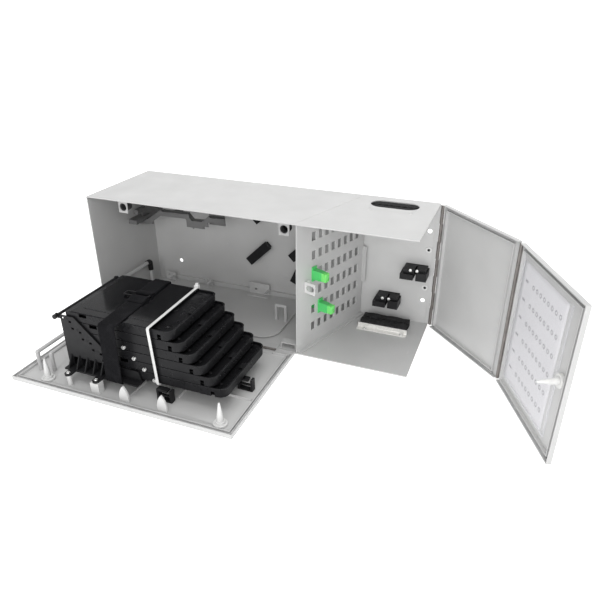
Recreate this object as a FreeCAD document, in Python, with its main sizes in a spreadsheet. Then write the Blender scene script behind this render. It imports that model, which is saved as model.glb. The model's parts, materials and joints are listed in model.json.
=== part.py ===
import FreeCAD, Part
import os
import re
import Sketcher

# A wall-mounted fibre termination box in folded sheet steel. The left compartment holds a stack of hinged
# splice trays on its drop-down lid, a slanted panel with 48 adapter cut-outs divides the box, and the right
# compartment is closed by a side panel and a front door that fold on each other.
#
# Everything is measured in the corner frame first: x to the right, y to the back, z up, from the front left
# bottom corner of the case. The origin of the finished model is the centre of the case's back face.

SIZES = {
    # case
    "case_width": 500, "case_depth": 160, "case_height": 200, "wall": 1.5,
    "divider_front": 336, "divider_length": 168.71, "divider_slant": 18.49,
    "port_width": 8.8, "port_height": 13.2, "port_pitch": 15.1, "row_pitch": 28.2,
    "first_port": 39, "first_row": 31.8,
    "entry_left": 404.5, "entry_front": 111, "entry_length": 70, "entry_width": 32, "entry_slit": 7,
    "hole_left": 50, "hole_right": 488, "hole_low": 41, "hole_high": 156, "hole_radius": 3.5,
    "lock_tab_depth": 22, "lock_tab_height": 182, "lock_tab_left": 47, "lock_tab_right": 311,
    "storage_up": 3.2, "storage_sheet": 1.5,
    # pans: the lid, the side panel and the front door are shallow trays of sheet
    "pan_sheet": 1.2, "pan_depth": 6, "lip_inset": 6, "lip_height": 5,
    "lid_width": 335, "lid_length": 200, "lid_left": 0.5,
    "lid_axis_front": 3.5, "lid_axis_up": 3,
    "side_axis_x": 503.5, "side_axis_y": 156.5, "fold_span": 160, "side_length": 153,
    "door_length": 162.5, "pan_gap": 3.5, "side_open": 44.6, "door_open": 24,
    # hinges
    "lid_barrel": 1.7, "lid_pin": 0.8, "door_barrel": 2.4, "door_pin": 1.2, "leaf": 0.8, "play": 0.06,
    "leaf_start": 2.9, "leaf_end": 8.5,
    # splice tray stack
    "tray_length": 156, "tray_width": 120, "tray_height": 12, "tray_floor": 1.6, "tray_wall": 1.8,
    "tray_drop": 2.2, "tray_step_x": 13.9, "tray_step_z": 13.4, "tray_corner": 12,
    "first_pivot_x": 151.3, "first_pivot_z": 24.5, "tray_gap": 0.5,
    "pivot_pin": 2, "tray_barrel": 3, "cover_height": 2,
    # tray stand
    "stand_front": -163, "stand_floor": 17.4, "stand_sheet": 2.4, "stand_apron": 10.5, "cheek": 2,
    "stand_left": 11.2, "stand_right": 35.7, "eyelet_left": 16.7, "eyelet_up": 1.9, "gusset": 1.8,
    # straps
    "strap_left": 138, "strap_width": 26, "strap_sheet": 1.3,
    "tie_left": 205.5, "tie_width": 4.5, "tie_sheet": 1.2,
    # quarter-turn posts
    "post_base": 4.2, "post_tip": 1.2, "boss_radius": 9,
    "lid_post_y": -182.5, "lid_post_height": 28,
    "door_post_x": 150.5, "door_post_z": 102, "door_post_height": 26,
}
TRAYS = 6
PORT_ROWS = 6
PORT_COLUMNS = 8

X = FreeCAD.Vector(1, 0, 0)
Y = FreeCAD.Vector(0, 1, 0)
Z = FreeCAD.Vector(0, 0, 1)

doc = FreeCAD.newDocument("FibreTerminationBox")
sizes = doc.addObject("Spreadsheet::Sheet", "Sizes")
for row, (alias, value) in enumerate(SIZES.items(), start=1):
    sizes.set(f"A{row}", alias)
    sizes.set(f"B{row}", str(value))
    sizes.setAlias(f"B{row}", alias)
doc.recompute()

sub_parts = []


# ---------------------------------------------------------------- building blocks

def formula(value):
    """Text for setExpression, with each size's name pointing at its cell."""
    def cell(match):
        word = match.group(0)
        return f"Sizes.{word}" if word in SIZES else word
    return re.sub(r"[a-z][a-z_0-9]*", cell, str(value))


def bind(thing, **values):
    for name, value in values.items():
        thing.setExpression(name, formula(value))


def locate(thing, x, y, z):
    for letter, value in zip("xyz", (x, y, z)):
        thing.setExpression(f"Placement.Base.{letter}", formula(value))


def turn(thing, axis, angle):
    thing.Placement = FreeCAD.Placement(FreeCAD.Vector(), FreeCAD.Rotation(axis, 1))
    thing.setExpression("Placement.Rotation.Angle", formula(angle))


def block(x, y, z, length, width, height):
    """A box from its lowest corner, with its sizes along x, y and z."""
    thing = doc.addObject("Part::Box", "Block")
    bind(thing, Length=length, Width=width, Height=height)
    locate(thing, x, y, z)
    return thing


def rod(x, y, z, radius, length, along=Z):
    """A round bar that starts at a point and runs along an axis."""
    thing = doc.addObject("Part::Cylinder", "Rod")
    thing.Placement.Rotation = FreeCAD.Rotation(Z, along)
    bind(thing, Radius=radius, Height=length)
    locate(thing, x, y, z)
    return thing


def cone(x, y, z, radius, tip, length, along=Z):
    thing = doc.addObject("Part::Cone", "Cone")
    thing.Placement.Rotation = FreeCAD.Rotation(Z, along)
    bind(thing, Radius1=radius, Radius2=tip, Height=length)
    locate(thing, x, y, z)
    return thing


def fuse(*things):
    """One solid from things that touch or cross."""
    if len(things) == 1:
        return things[0]
    whole = doc.addObject("Part::MultiFuse", "Whole")
    whole.Shapes = list(things)
    whole.Refine = True
    return whole


def cut(base, *tools):
    rest = doc.addObject("Part::Cut", "Rest")
    rest.Base = base
    rest.Tool = fuse(*tools)
    return rest


def group(*things):
    """Things kept as separate solids."""
    whole = doc.addObject("Part::Compound", "Group")
    whole.Links = list(things)
    return whole


def round_edges(base, radius, wanted):
    """Rounds the straight edges that wanted(middle, direction) picks."""
    doc.recompute()
    numbers = []
    for number, edge in enumerate(base.Shape.Edges, start=1):
        if isinstance(edge.Curve, Part.Line):
            direction = edge.tangentAt(edge.FirstParameter)
            middle = edge.valueAt((edge.FirstParameter + edge.LastParameter) / 2)
            if wanted(middle, direction):
                numbers.append(number)
    smooth = doc.addObject("Part::Fillet", "Smooth")
    smooth.Base = base
    smooth.Edges = [(number, radius, radius) for number in numbers]
    return smooth


def upright(direction):
    return abs(direction.z) > 0.99


def profile(role, points, thickness, x=0, y=0, z=0):
    """A flat piece: an outline of straight lines on an origin plane, padded to a thickness."""
    body = doc.addObject("PartDesign::Body", "Profile")
    plane = next(f for f in body.Origin.OriginFeatures if f.Role == role)
    sketch = body.newObject("Sketcher::SketchObject", "Outline")
    sketch.AttachmentSupport = [(plane, "")]
    sketch.MapMode = "FlatFace"
    draw_outline(sketch, points)
    pad = body.newObject("PartDesign::Pad", "Pad")
    pad.Profile = sketch
    bind(pad, Length=thickness)
    locate(body, x, y, z)
    return body


def draw_outline(sketch, points):
    """A closed outline, each corner held at its own distances from the sketch's origin."""
    doc.recompute()
    first = sketch.GeometryCount
    count = len(points)
    start = [FreeCAD.Vector(*(number_of(value) for value in point), 0) for point in points]
    for i in range(count):
        sketch.addGeometry(Part.LineSegment(start[i], start[(i + 1) % count]), False)
    for i in range(count):
        following = first + (i + 1) % count
        sketch.addConstraint(Sketcher.Constraint("Coincident", first + i, 2, following, 1))
    for i, point in enumerate(points):
        for kind, value in zip(("DistanceX", "DistanceY"), point):
            held = Sketcher.Constraint(kind, -1, 1, first + i, 1, number_of(value))
            index = sketch.addConstraint(held)
            sketch.setExpression(f"Constraints[{index}]", formula(value))


def number_of(value):
    """The present value of a size formula: names, numbers and the four operations."""
    holder = doc.getObject("Reckoner")
    if holder is None:
        holder = doc.addObject("App::FeaturePython", "Reckoner")
        holder.addProperty("App::PropertyFloat", "result")
    holder.setExpression("result", formula(value))
    holder.recompute()
    return holder.result


# ---------------------------------------------------------------- the four frames a sub-part can stand in

def in_case(thing):
    locate(thing, "-case_width / 2", "-case_depth", "-case_height / 2")


def on_side(thing):
    """x runs along the side panel from its hinge, y points out of the box, z is up."""
    turn(thing, Z, "side_open - 90")
    locate(thing, "side_axis_x - case_width / 2", "side_axis_y - case_depth", "-case_height / 2")


def on_door(thing):
    """x runs along the front door from the fold, y points out of the box, z is up."""
    turn(thing, Z, "door_open - 90")
    locate(thing, "side_axis_x - case_width / 2 + fold_span * cos(side_open - 90)",
           "side_axis_y - case_depth + fold_span * sin(side_open - 90)", "-case_height / 2")


def on_tray(level):
    """x runs along a tray from its pivot, y to the back, z up. Level 0 is the lowest tray."""
    def place(thing):
        locate(thing, f"first_pivot_x - {level} * tray_step_x - case_width / 2",
               "stand_front + cheek + tray_gap - case_depth",
               f"first_pivot_z + {level} * tray_step_z - case_height / 2")
    return place


def sub_part(label, frame, *things):
    whole = group(*things)
    whole.Label = label
    frame(whole)
    sub_parts.append(whole)
    return whole


# ---------------------------------------------------------------- case

def oblong(x, y, z, length, width, height):
    """A slot with round ends, standing up from z."""
    middle = f"{y} + {width} / 2"
    return fuse(
        block(f"{x} + {width} / 2", y, z, f"{length} - {width}", width, height),
        rod(f"{x} + {width} / 2", middle, z, f"{width} / 2", height),
        rod(f"{x} + {length} - {width} / 2", middle, z, f"{width} / 2", height),
    )


SCREW_X = ("entry_left + 6.5", "entry_left + 64")
ROOF_SCREW_Y = "entry_front - 14"
FLOOR_SCREW_Y = "entry_front - 5.5"
CLIP_PLACES = [(418, 33), (457.5, 87)]
BUSH_PLACES = [(489.5, 126.4), (489.5, 63.6)]


def case_shell():
    outside = block(0, 0, 0, "case_width", "case_depth", "case_height")
    inside = block("wall", -1, "wall", "case_width", "case_depth - wall + 1", "case_height - 2 * wall")
    tools = [inside]
    for z, screw_y in (("-1", FLOOR_SCREW_Y), ("case_height - wall - 1", ROOF_SCREW_Y)):
        tools.append(oblong("entry_left", "entry_front", z, "entry_length", "entry_width", "wall + 2"))
        for x in SCREW_X:
            tools.append(rod(x, screw_y, z, 1.6, "wall + 2"))
    for x in ("hole_left", "hole_right"):
        for z in ("hole_low", "hole_high"):
            tools.append(rod(x, "case_depth - wall - 1", z, "hole_radius", "wall + 2", Y))
    for x, z in BUSH_PLACES:
        tools.append(rod(x, "case_depth - wall - 1", z, 3.1, "wall + 2", Y))
    for x, z in CLIP_PLACES:
        for step in (11, 21):
            tools.append(rod(x + step, "case_depth - wall - 1", z + 12, 1.35, "wall + 2", Y))
    # a fine weld seam on the roof follows the slanted divider
    seam = block(0, 0, "case_height - 0.4", 0.6, "divider_length - 8", 1)
    seam.Placement.Rotation = FreeCAD.Rotation(Z, 1)
    seam.setExpression("Placement.Rotation.Angle", formula("-divider_slant"))
    locate(seam, "divider_front - 2", 1, "case_height - 0.4")
    sub_part("case_shell", in_case, cut(outside, *tools, seam))


def along_divider(*things):
    """Stands things on the divider: x along it to the back, y to its left, z up."""
    holder = group(*things)
    turn(holder, Z, "90 - divider_slant")
    locate(holder, "divider_front", 0, 0)
    return holder


def adapter_panel():
    """The slanted divider, pierced by a grid of adapter ports, with flanges at its edges."""
    body = doc.addObject("PartDesign::Body", "Grid")
    plane = next(f for f in body.Origin.OriginFeatures if f.Role == "XZ_Plane")
    face = body.newObject("Sketcher::SketchObject", "Face")
    face.AttachmentSupport = [(plane, "")]
    face.MapMode = "FlatFace"
    end, low, high = "divider_length - 5.5", "wall + 0.1", "case_height - wall - 0.1"
    draw_outline(face, [("1.5", low), (end, low), (end, high), ("1.5", high)])
    pad = body.newObject("PartDesign::Pad", "Sheet")
    pad.Profile = face
    bind(pad, Length="wall")
    doc.recompute()
    solid_volume = body.Shape.Volume
    column = body.newObject("Sketcher::SketchObject", "Column")
    column.AttachmentSupport = [(plane, "")]
    column.MapMode = "FlatFace"
    for row in range(PORT_ROWS):
        left, right = "first_port - port_width / 2", "first_port + port_width / 2"
        middle = f"first_row + {row} * row_pitch"
        bottom, top = f"{middle} - port_height / 2", f"{middle} + port_height / 2"
        draw_outline(column, [(left, bottom), (right, bottom), (right, top), (left, top)])
    pocket = body.newObject("PartDesign::Pocket", "Ports")
    pocket.Profile = column
    pocket.Type = 1
    pocket.Midplane = True
    doc.recompute()
    pattern = body.newObject("PartDesign::LinearPattern", "Columns")
    pattern.Originals = [pocket]
    pattern.Direction = (column, ["H_Axis"])
    bind(pattern, Length=f"{PORT_COLUMNS - 1} * port_pitch")
    pattern.Occurrences = PORT_COLUMNS
    body.Tip = pattern
    doc.recompute()
    removed = solid_volume - body.Shape.Volume
    expected = PORT_ROWS * PORT_COLUMNS * SIZES["port_width"] * SIZES["port_height"] * SIZES["wall"]
    if abs(removed - expected) > 1:
        raise RuntimeError("the adapter ports aren't cut")
    flanges = [
        block(5, -8, low, "divider_length - 12", 8, 1.2),
        block(5, -8, f"{high} - 1.2", "divider_length - 12", 8, 1.2),
        block("divider_length - 6.7", -8, 60, 1.2, 8, 60),
    ]
    whole = fuse(body, *flanges)
    sub_part("adapter_panel", in_case, along_divider(whole))


def latch_catch():
    """A bent tab on the divider with a slotted hole for the front door's post."""
    plate = block(19, "-wall - 0.05 - 18", "door_post_z - 8.5", 1.5, 18, 17)
    foot = block(19, "-wall - 0.05 - 1.5", "door_post_z - 8.5", 9, 1.5, 17)
    middle = "-wall - 9.5"
    slot = fuse(
        block(18, f"{middle} - 2.5", "door_post_z - 4.4", 4, 5, 8.8),
        rod(18, f"{middle} - 2.5", "door_post_z", 4.4, 4, X),
        rod(18, f"{middle} + 2.5", "door_post_z", 4.4, 4, X),
    )
    sub_part("latch_catch", in_case, along_divider(cut(fuse(plate, foot), slot)))


def lid_lock_tabs():
    """Two tabs hang from the roof, each with a hole that takes a lid post, and a spring ring behind it."""
    tabs, rings = [], []
    for x in ("lock_tab_left", "lock_tab_right"):
        plate = block(f"{x} - 8", "lock_tab_depth", "lock_tab_height - 9", 16, 1.5,
                      "case_height - wall - 0.05 - lock_tab_height + 9")
        foot = block(f"{x} - 8", "lock_tab_depth", "case_height - wall - 1.55", 16, 12, 1.5)
        hole = rod(x, "lock_tab_depth - 1", "lock_tab_height", 6, 4, Y)
        tabs.append(cut(fuse(plate, foot), hole))
        ring = rod(x, "lock_tab_depth + 1.6", "lock_tab_height", 7.4, 9, Y)
        bore = rod(x, "lock_tab_depth + 1", "lock_tab_height", 4.8, 11, Y)
        rings.append(cut(ring, bore))
    sub_part("lid_lock_tabs", in_case, *tabs)
    sub_part("lid_lock_spring_rings", in_case, *rings)


def strip(points, y, width, thickness):
    """A bent flat strip seen from the front: straight runs between points, each a thin block."""
    runs = []
    for (x0, z0), (x1, z1) in zip(points, points[1:]):
        run = FreeCAD.Vector(x1 - x0, 0, z1 - z0)
        piece = block(0, 0, 0, run.Length + thickness, width, thickness)
        piece.Placement.Rotation = FreeCAD.Rotation(X, run)
        locate(piece, x0, y, z0)
        runs.append(piece)
    return fuse(*runs)


def top_cable_guide():
    """A wavy channel high in the left compartment that carries tubes, with two fingers and two wall arms."""
    low, crest, dip, sheet, skirt = 131, 150, 141, 2.2, 5.5
    path = [(14, low), (33, low + 2), (57, crest), (104, crest + 1), (113, dip), (138, dip + 1),
            (147, crest), (169, crest + 1)]
    hem = [(x, z - skirt) for x, z in path]
    reach = "case_depth - wall - 0.05 - 100"
    pieces = [
        strip(path, 100, 13, sheet),
        strip(hem, 100, 2, sheet + skirt),
        block(20, 100, low + 0.5, sheet, reach, 25),
        block(76, 100, crest, 12, reach, sheet),
        block(12, 74, low + 3, 16, 39, 7),
        block(20, 80, low + 19, 8.5, 33, 6.5),
        block(106, 100, dip - 9, 32, sheet, 11),
        block(143, 110, crest - 12, 28, sheet, 18),
    ]
    sub_part("top_cable_guide", in_case, fuse(*pieces))


def back_wall_clips():
    """Four hinged wire clips around the fibre storage loop, stuck on the back wall."""
    clips = []
    for x, z, lean in [(211, 83, -44), (223, 157, -44), (288, 100, -44), (285, 62, -66)]:
        base = block(-22, "case_depth - wall - 4.05", -5.5, 44, 4, 11)
        bridge = block(-25, "case_depth - wall - 13", -7.5, 50, 3.5, 15)
        posts = [block(end, "case_depth - wall - 11", -4.5, 3, 8, 9) for end in (-22, 19)]
        clip = group(fuse(base, bridge, *posts))
        turn(clip, Y, lean)
        locate(clip, x, 0, z)
        clips.append(clip)
    sub_part("back_wall_clips", in_case, *clips)


def patch_clips():
    """Two black strain-relief blocks on the back wall of the patch compartment, each held by two screws."""
    blocks, screws = [], []
    back = "case_depth - wall - 0.05"
    for x, z in CLIP_PLACES:
        body = block(x, f"{back} - 22", z, 34, 22, 14)
        step = block(x - 4, f"{back} - 26", z - 3, 20, 26, 9)
        groove = block(x + 17, f"{back} - 23", z - 4, 3, 15, 19)
        lower = block(x + 20, f"{back} - 26", z - 3, 16, 26, 13)
        holes = []
        for shift in (11, 21):
            holes.append(rod(x + shift, f"{back} - 27", z + 12, 1.4, 28, Y))
            screws.append(fuse(
                rod(x + shift, f"{back} - 24.2", z + 12, 2.6, 1.6, Y),
                rod(x + shift, f"{back} - 24", z + 12, 1.2, 25, Y),
            ))
            holes.append(rod(x + shift, f"{back} - 27", z + 12, 2.8, 4.6, Y))
        blocks.append(cut(fuse(body, step, lower), groove, *holes))
    sub_part("patch_cable_clips", in_case, *blocks)
    sub_part("patch_clip_screws", in_case, *screws)


def wall_bushes():
    rings = []
    for x, z in BUSH_PLACES:
        collar = rod(x, "case_depth - wall - 1.1", z, 4.6, 1, Y)
        sleeve = rod(x, "case_depth - wall - 1", z, 3, "wall + 0.9", Y)
        rings.append(cut(fuse(collar, sleeve), rod(x, "case_depth - 4", z, 2.2, 3.2, Y)))
    sub_part("wall_screw_bushes", in_case, *rings)


def storage_plate():
    """A raised plate over the floor of the left compartment, one corner well rounded, on four spacers."""
    def front_right(middle, direction):
        return upright(direction) and middle.x > 200 and middle.y < 50

    sheet = round_edges(block(18, 18.5, "storage_up", 275, 134.5, "storage_sheet"), 30, front_right)
    spacers = [rod(x, y, "wall + 0.05", 4, "storage_up - wall") for x in (30, 270) for y in (34, 138)]
    return fuse(sheet, *spacers)


def floor_fittings():
    """The storage plate, angle brackets with tie holes on it, a rear rail, and a bridge by the divider."""
    brackets = [block(30, 154.3, "wall + 0.05", 340, 4.1, 10)]
    seat = "storage_up + storage_sheet + 0.05"
    for x, y, width, height in [(22, 136, 20, 15), (102, 138, 15, 13), (190, 139, 38, 21)]:
        foot = block(x, y, seat, width, 12, 1.2)
        back = block(x, y + 10.8, seat, width, 1.2, height)
        hook = block(x + width - 5, y - 3, f"{seat} + 9", 5, 14, 1.2)
        hole = rod(x + width / 3, y + 9, 14, 2.2, 5, Y)
        brackets.append(cut(fuse(foot, back, hook), hole))
    bridge = [block(x, 8, "wall + 0.05", 1.5, 13, 9) for x in (310, 332)]
    brackets.append(fuse(*bridge, block(310, 8, "wall + 7.55", 23.5, 13, 1.5)))
    sub_part("storage_plate_and_brackets", in_case, storage_plate(), *brackets)


def bar(points, radius):
    """A round wire bent through points in the corner frame, with ball corners."""
    pieces = []
    for start, end in zip(points, points[1:]):
        run = FreeCAD.Vector(*end) - FreeCAD.Vector(*start)
        pieces.append(rod(*start, radius, run.Length, run))
    for corner in points[1:-1]:
        ball = doc.addObject("Part::Sphere", "Corner")
        bind(ball, Radius=radius)
        locate(ball, *corner)
        pieces.append(ball)
    return fuse(*pieces)


def floor_guides():
    floor = SIZES["wall"] + 0.05
    left = bar([(10, 22, floor), (10, 22, 48), (10, 120, 48), (10, 120, floor)], 3.4)
    seat = SIZES["storage_up"] + SIZES["storage_sheet"] + 0.05
    right = bar([(272, 78, seat), (272, 78, 31), (288, 78, 31), (288, 78, seat)], 2.6)
    sub_part("floor_guide_bars", in_case, left, right)


def cable_entries():
    """Slotted foam in the roof and floor openings, each held by an angle plate and two screws."""
    foams, plates, screws = [], [], []
    half = "(entry_width - entry_slit) / 2 - 1"
    for up in (False, True):
        base = "case_height - wall - 10.1" if up else "wall + 0.1"
        for y in ("entry_front + 1", "entry_front + 1 + entry_slit + (entry_width - entry_slit) / 2 - 1"):
            foams.append(block("entry_left - 3", y, base, "entry_length + 3", half, 10))
        flat = "case_height - wall - 1.45" if up else "wall + 0.05"
        lip = "case_height - wall - 8.05" if up else "wall + 0.05"
        reach = 21 if up else 10
        screw_y = ROOF_SCREW_Y if up else FLOOR_SCREW_Y
        plate = fuse(
            block("entry_left - 6", f"entry_front - {reach}", flat, "entry_length + 8", reach, 1.4),
            block("entry_left - 6", "entry_front - 1.4", lip, "entry_length + 8", 1.4, 8),
        )
        holes = []
        for x in SCREW_X:
            holes.append(rod(x, screw_y, f"{flat} - 1", 1.6, 4))
            if up:
                screws.append(fuse(rod(x, screw_y, f"{flat} - 1.65", 3, 1.6),
                                   rod(x, screw_y, f"{flat} - 1", 1.5, 4)))
            else:
                screws.append(fuse(rod(x, screw_y, f"{flat} + 1.45", 3, 1.6),
                                   rod(x, screw_y, f"{flat} - 1.5", 1.5, 4)))
        plates.append(cut(plate, *holes))
    sub_part("cable_entry_foams", in_case, *foams)
    sub_part("cable_entry_plates", in_case, *plates)
    sub_part("cable_entry_screws", in_case, *screws)


def adapters():
    """Two simplex adapters in ports of the divider, with dust caps on both sides."""
    bodies, caps = [], []
    for column, row in [(0, 3), (1, 1)]:
        body = fuse(
            block("-port_width / 2 + 0.1", -19, "-port_height / 2 + 0.1", "port_width - 0.2", 33,
                  "port_height - 0.2"),
            block(-4.7, "-wall - 2.05", -11, 9.4, 2, 22),
            block("-port_width / 2 - 0.4", "-wall - 14", "-port_height / 2 - 0.3", "port_width + 0.8", 12,
                  "port_height + 0.6"),
        )
        mouth = block(-3.8, -20, -5.4, 7.6, 36, 10.8)
        cap = fuse(block(-4.8, -26.1, -6.6, 9.6, 7, 13.2), block(-3.6, -19.5, -5.2, 7.2, 8, 10.4))
        rear_cap = fuse(block(-4.3, 14.1, -6, 8.6, 5, 12), block(-3.6, 8, -5.2, 7.2, 7, 10.4))
        for where, things in ((bodies, [cut(body, mouth)]), (caps, [cap, rear_cap])):
            holder = group(*things)
            locate(holder, f"first_port + {column} * port_pitch", 0, f"first_row + {row} * row_pitch")
            where.append(holder)
    sub_part("sc_adapters", in_case, along_divider(*bodies))
    sub_part("adapter_dust_caps", in_case, along_divider(*caps))


# ---------------------------------------------------------------- hinges

def knuckles(start, spans, which):
    """Barrel segments along x for one leaf: which is 0 for the first, third ... and 1 for the others."""
    pieces = []
    for number, (begin, length) in enumerate(spans):
        if number % 2 == which:
            pieces.append((f"{start} + {begin} + 0.15", f"{length} - 0.3"))
    return pieces


def evenly(total, count):
    return [(number * total / count, total / count) for number in range(count)]


LID_HINGE_STARTS = (30, 262)
LID_HINGE_LENGTH = 44


def lid_hinges():
    case_leaves, lid_leaves, pins = [], [], []
    axis_y, axis_z = "-lid_axis_front", "lid_axis_up"
    for start in LID_HINGE_STARTS:
        spans = evenly(LID_HINGE_LENGTH, 3)
        for which, leaves in ((0, case_leaves), (1, lid_leaves)):
            barrels = [rod(x, axis_y, axis_z, "lid_barrel", length, X)
                       for x, length in knuckles(start, spans, which)]
            bore = rod(start - 1, axis_y, axis_z, "lid_pin + play", LID_HINGE_LENGTH + 2, X)
            if which == 0:
                webs = [block(x, axis_y, "wall + 0.05", length, "lid_axis_front + 2", "leaf")
                        for x, length in knuckles(start, spans, which)]
                plate = block(start, 1, "wall + 0.05", LID_HINGE_LENGTH, 12, "leaf")
            else:
                webs = [block(x, "-lid_axis_front - 6", "pan_sheet + 0.05", length, 6, "leaf")
                        for x, length in knuckles(start, spans, which)]
                plate = block(start, "-lid_axis_front - 12", "pan_sheet + 0.05", LID_HINGE_LENGTH, 8, "leaf")
            leaves.append(cut(fuse(*barrels, *webs, plate), bore))
        pins.append(rod(start, axis_y, axis_z, "lid_pin", LID_HINGE_LENGTH, X))
    sub_part("lid_hinge_case_leaves", in_case, *case_leaves)
    sub_part("lid_hinge_lid_leaves", in_case, *lid_leaves)
    sub_part("lid_hinge_pins", in_case, *pins)


HINGE_FOOT = 2
HINGE_TALL = 196
KNUCKLES = 7


def door_leaf(which, plate):
    """One leaf of a long door hinge whose pin stands at x = y = 0."""
    spans = evenly(HINGE_TALL, KNUCKLES)
    barrels, webs = [], []
    for z, length in knuckles(HINGE_FOOT, spans, which):
        barrels.append(rod(0, 0, z, "door_barrel", length))
        webs.append(plate(z, length, True))
    sheet = plate(HINGE_FOOT, HINGE_TALL, False)
    bore = rod(0, 0, HINGE_FOOT - 1, "door_pin + play", HINGE_TALL + 2)
    return cut(fuse(*barrels, *webs, sheet), bore)


def door_hinges():
    def case_plate(z, length, web):
        if web:
            return block(-6, 1.15, z, 6, "leaf", length)
        return block(-9, 1.15, z, "9 - leaf_start", "leaf", length)

    def leading_plate(z, length, web):
        if web:
            return block(0, 0.95, z, 6, "leaf", length)
        return block("leaf_start", 0.95, z, "leaf_end - leaf_start", "leaf", length)

    def trailing_plate(z, length, web):
        if web:
            return block(-6, 0.95, z, 6, "leaf", length)
        return block("-leaf_end", 0.95, z, "leaf_end - leaf_start", "leaf", length)

    case_leaf = group(door_leaf(0, case_plate))
    locate(case_leaf, "side_axis_x", "side_axis_y", 0)
    sub_part("side_hinge_case_leaf", in_case, case_leaf)
    pin = rod("side_axis_x", "side_axis_y", HINGE_FOOT, "door_pin", HINGE_TALL)
    sub_part("side_hinge_pin", in_case, pin)
    sub_part("side_hinge_panel_leaf", on_side, door_leaf(1, leading_plate))
    fold_leaf = group(door_leaf(0, trailing_plate))
    locate(fold_leaf, "fold_span", 0, 0)
    sub_part("fold_hinge_side_leaf", on_side, fold_leaf)
    sub_part("fold_hinge_pin", on_side, rod("fold_span", 0, HINGE_FOOT, "door_pin", HINGE_TALL))
    sub_part("fold_hinge_door_leaf", on_door, door_leaf(1, leading_plate))


# ---------------------------------------------------------------- lid

def frame_of(x, y, z, length, width, height, thick):
    """Four walls around a rectangle, standing on z."""
    return cut(
        block(x, y, z, length, width, height),
        block(f"{x} + {thick}", f"{y} + {thick}", f"{z} - 1", f"{length} - 2 * ({thick})",
              f"{width} - 2 * ({thick})", f"{height} + 2"),
    )


def lid_panel():
    """The drop-down lid lies flat at rest, inside up: sheet, rim, inner lip and stiffening ribs."""
    y_free = "-lid_axis_front + lid_axis_up - lid_length"
    plate = block("lid_left", y_free, 0, "lid_width", "lid_length", "pan_sheet")
    rim = frame_of("lid_left", y_free, 0, "lid_width", "lid_length", "pan_depth", "pan_sheet")
    lip = frame_of("lid_left + lip_inset", f"{y_free} + lip_inset", 0, "lid_width - 2 * lip_inset",
                   "lid_length - 2 * lip_inset - 6.5", "lip_height", "pan_sheet")
    ribs = [block(175, -180, 0, 1.2, 40, 4.2), block(235, -155, 0, 1.2, 40, 4.2),
            block(276, -127, 0, 50, 1.2, 4.2)]
    low_rim = block(-1, "-lid_axis_front - 3", 4, "lid_width + 3", 8, 4)
    notches = [block(start - 1, "-lid_axis_front - 13", "pan_sheet", LID_HINGE_LENGTH + 2, 20, 6)
               for start in LID_HINGE_STARTS]
    heads = [rod(x, "lid_post_y", -1, 3.6, 4) for x in ("lock_tab_left", "lock_tab_right")]
    sub_part("lid_panel", in_case, cut(fuse(plate, rim, lip, *ribs), low_rim, *notches, *heads))
    groove = "lip_inset - pan_sheet - 0.6"
    seal = cut(
        block("lid_left + pan_sheet + 0.3", f"{y_free} + pan_sheet + 0.3", "pan_sheet + 0.05",
              "lid_width - 2 * pan_sheet - 0.6", "lid_length - 2 * pan_sheet - 8", 3.6),
        block(f"lid_left + pan_sheet + 0.3 + {groove}", f"{y_free} + pan_sheet + 0.3 + {groove}", 0,
              f"lid_width - 2 * pan_sheet - 0.6 - 2 * ({groove})", "lid_length", 8),
    )
    sub_part("lid_gasket", in_case, seal)


def lid_posts():
    """Round bosses on the lid and the pointed quarter-turn posts that stand in them."""
    bosses = []
    for name, x in (("left", "lock_tab_left"), ("right", "lock_tab_right")):
        boss = fuse(rod(x, "lid_post_y", "pan_sheet + 0.05", "boss_radius", 3),
                    rod(x, "lid_post_y", "pan_sheet + 0.05", "boss_radius - 2.6", 6.5))
        bosses.append(cut(boss, rod(x, "lid_post_y", 0, "post_base + play", 12)))
        shank = rod(x, "lid_post_y", "pan_sheet + 0.2", "post_base", 12)
        tip = cone(x, "lid_post_y", "pan_sheet + 12.2", "post_base", "post_tip", "lid_post_height - 8")
        neck = rod(x, "lid_post_y", 0.1, 3.5, 2)
        slot = block(f"{x} - 3", "lid_post_y - 0.6", 0, 6, 1.2, 1)
        sub_part(f"lid_post_{name}", in_case, cut(fuse(shank, tip, neck), slot))
    sub_part("lid_post_bosses", in_case, *bosses)


def arch(x, y, z, half, height):
    """A pointed upright fin, 3 thick, its outline a half width and a height."""
    right = [(half, height * 0.35), (half * 0.72, height * 0.66), (half * 0.34, height * 0.88)]
    left = [(-across, up) for across, up in reversed(right)]
    points = [(-half, 0), (half, 0), *right, (0, height), *left]
    return profile("XZ_Plane", points, 3, x, y, z)


def lid_fittings():
    """Fibre guides, clips and spacers on the inside of the lid."""
    seat = "pan_sheet + 0.05"
    sub_part("lid_fibre_fins", in_case, arch(174, -184, seat, 7, 23), arch(231, -184, seat, 7, 24))
    clips = []
    for x, y in [(223, -165), (308, -105)]:
        base = block(x - 11, y - 4, seat, 22, 8, 2)
        walls = [block(side, y - 4, seat, 3, 8, 18) for side in (x - 11, x + 8)]
        roof = block(x - 11, y - 4, f"{seat} + 15", 16, 8, 3)
        rung = block(x - 9, y - 1.5, f"{seat} + 7", 18, 3, 2)
        clips.append(fuse(base, *walls, roof, rung))
    sub_part("lid_cable_clips", in_case, *clips)
    foot = SIZES["pan_sheet"] + 0.05
    rails = [bar([(x, front, foot), (x, front, height), (x, -40, height), (x, -40, foot)], 2.8)
             for x, front, height in ((21, -168, 30), (40, -163, 29))]
    sub_part("lid_guide_bar", in_case, *rails)


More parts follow.
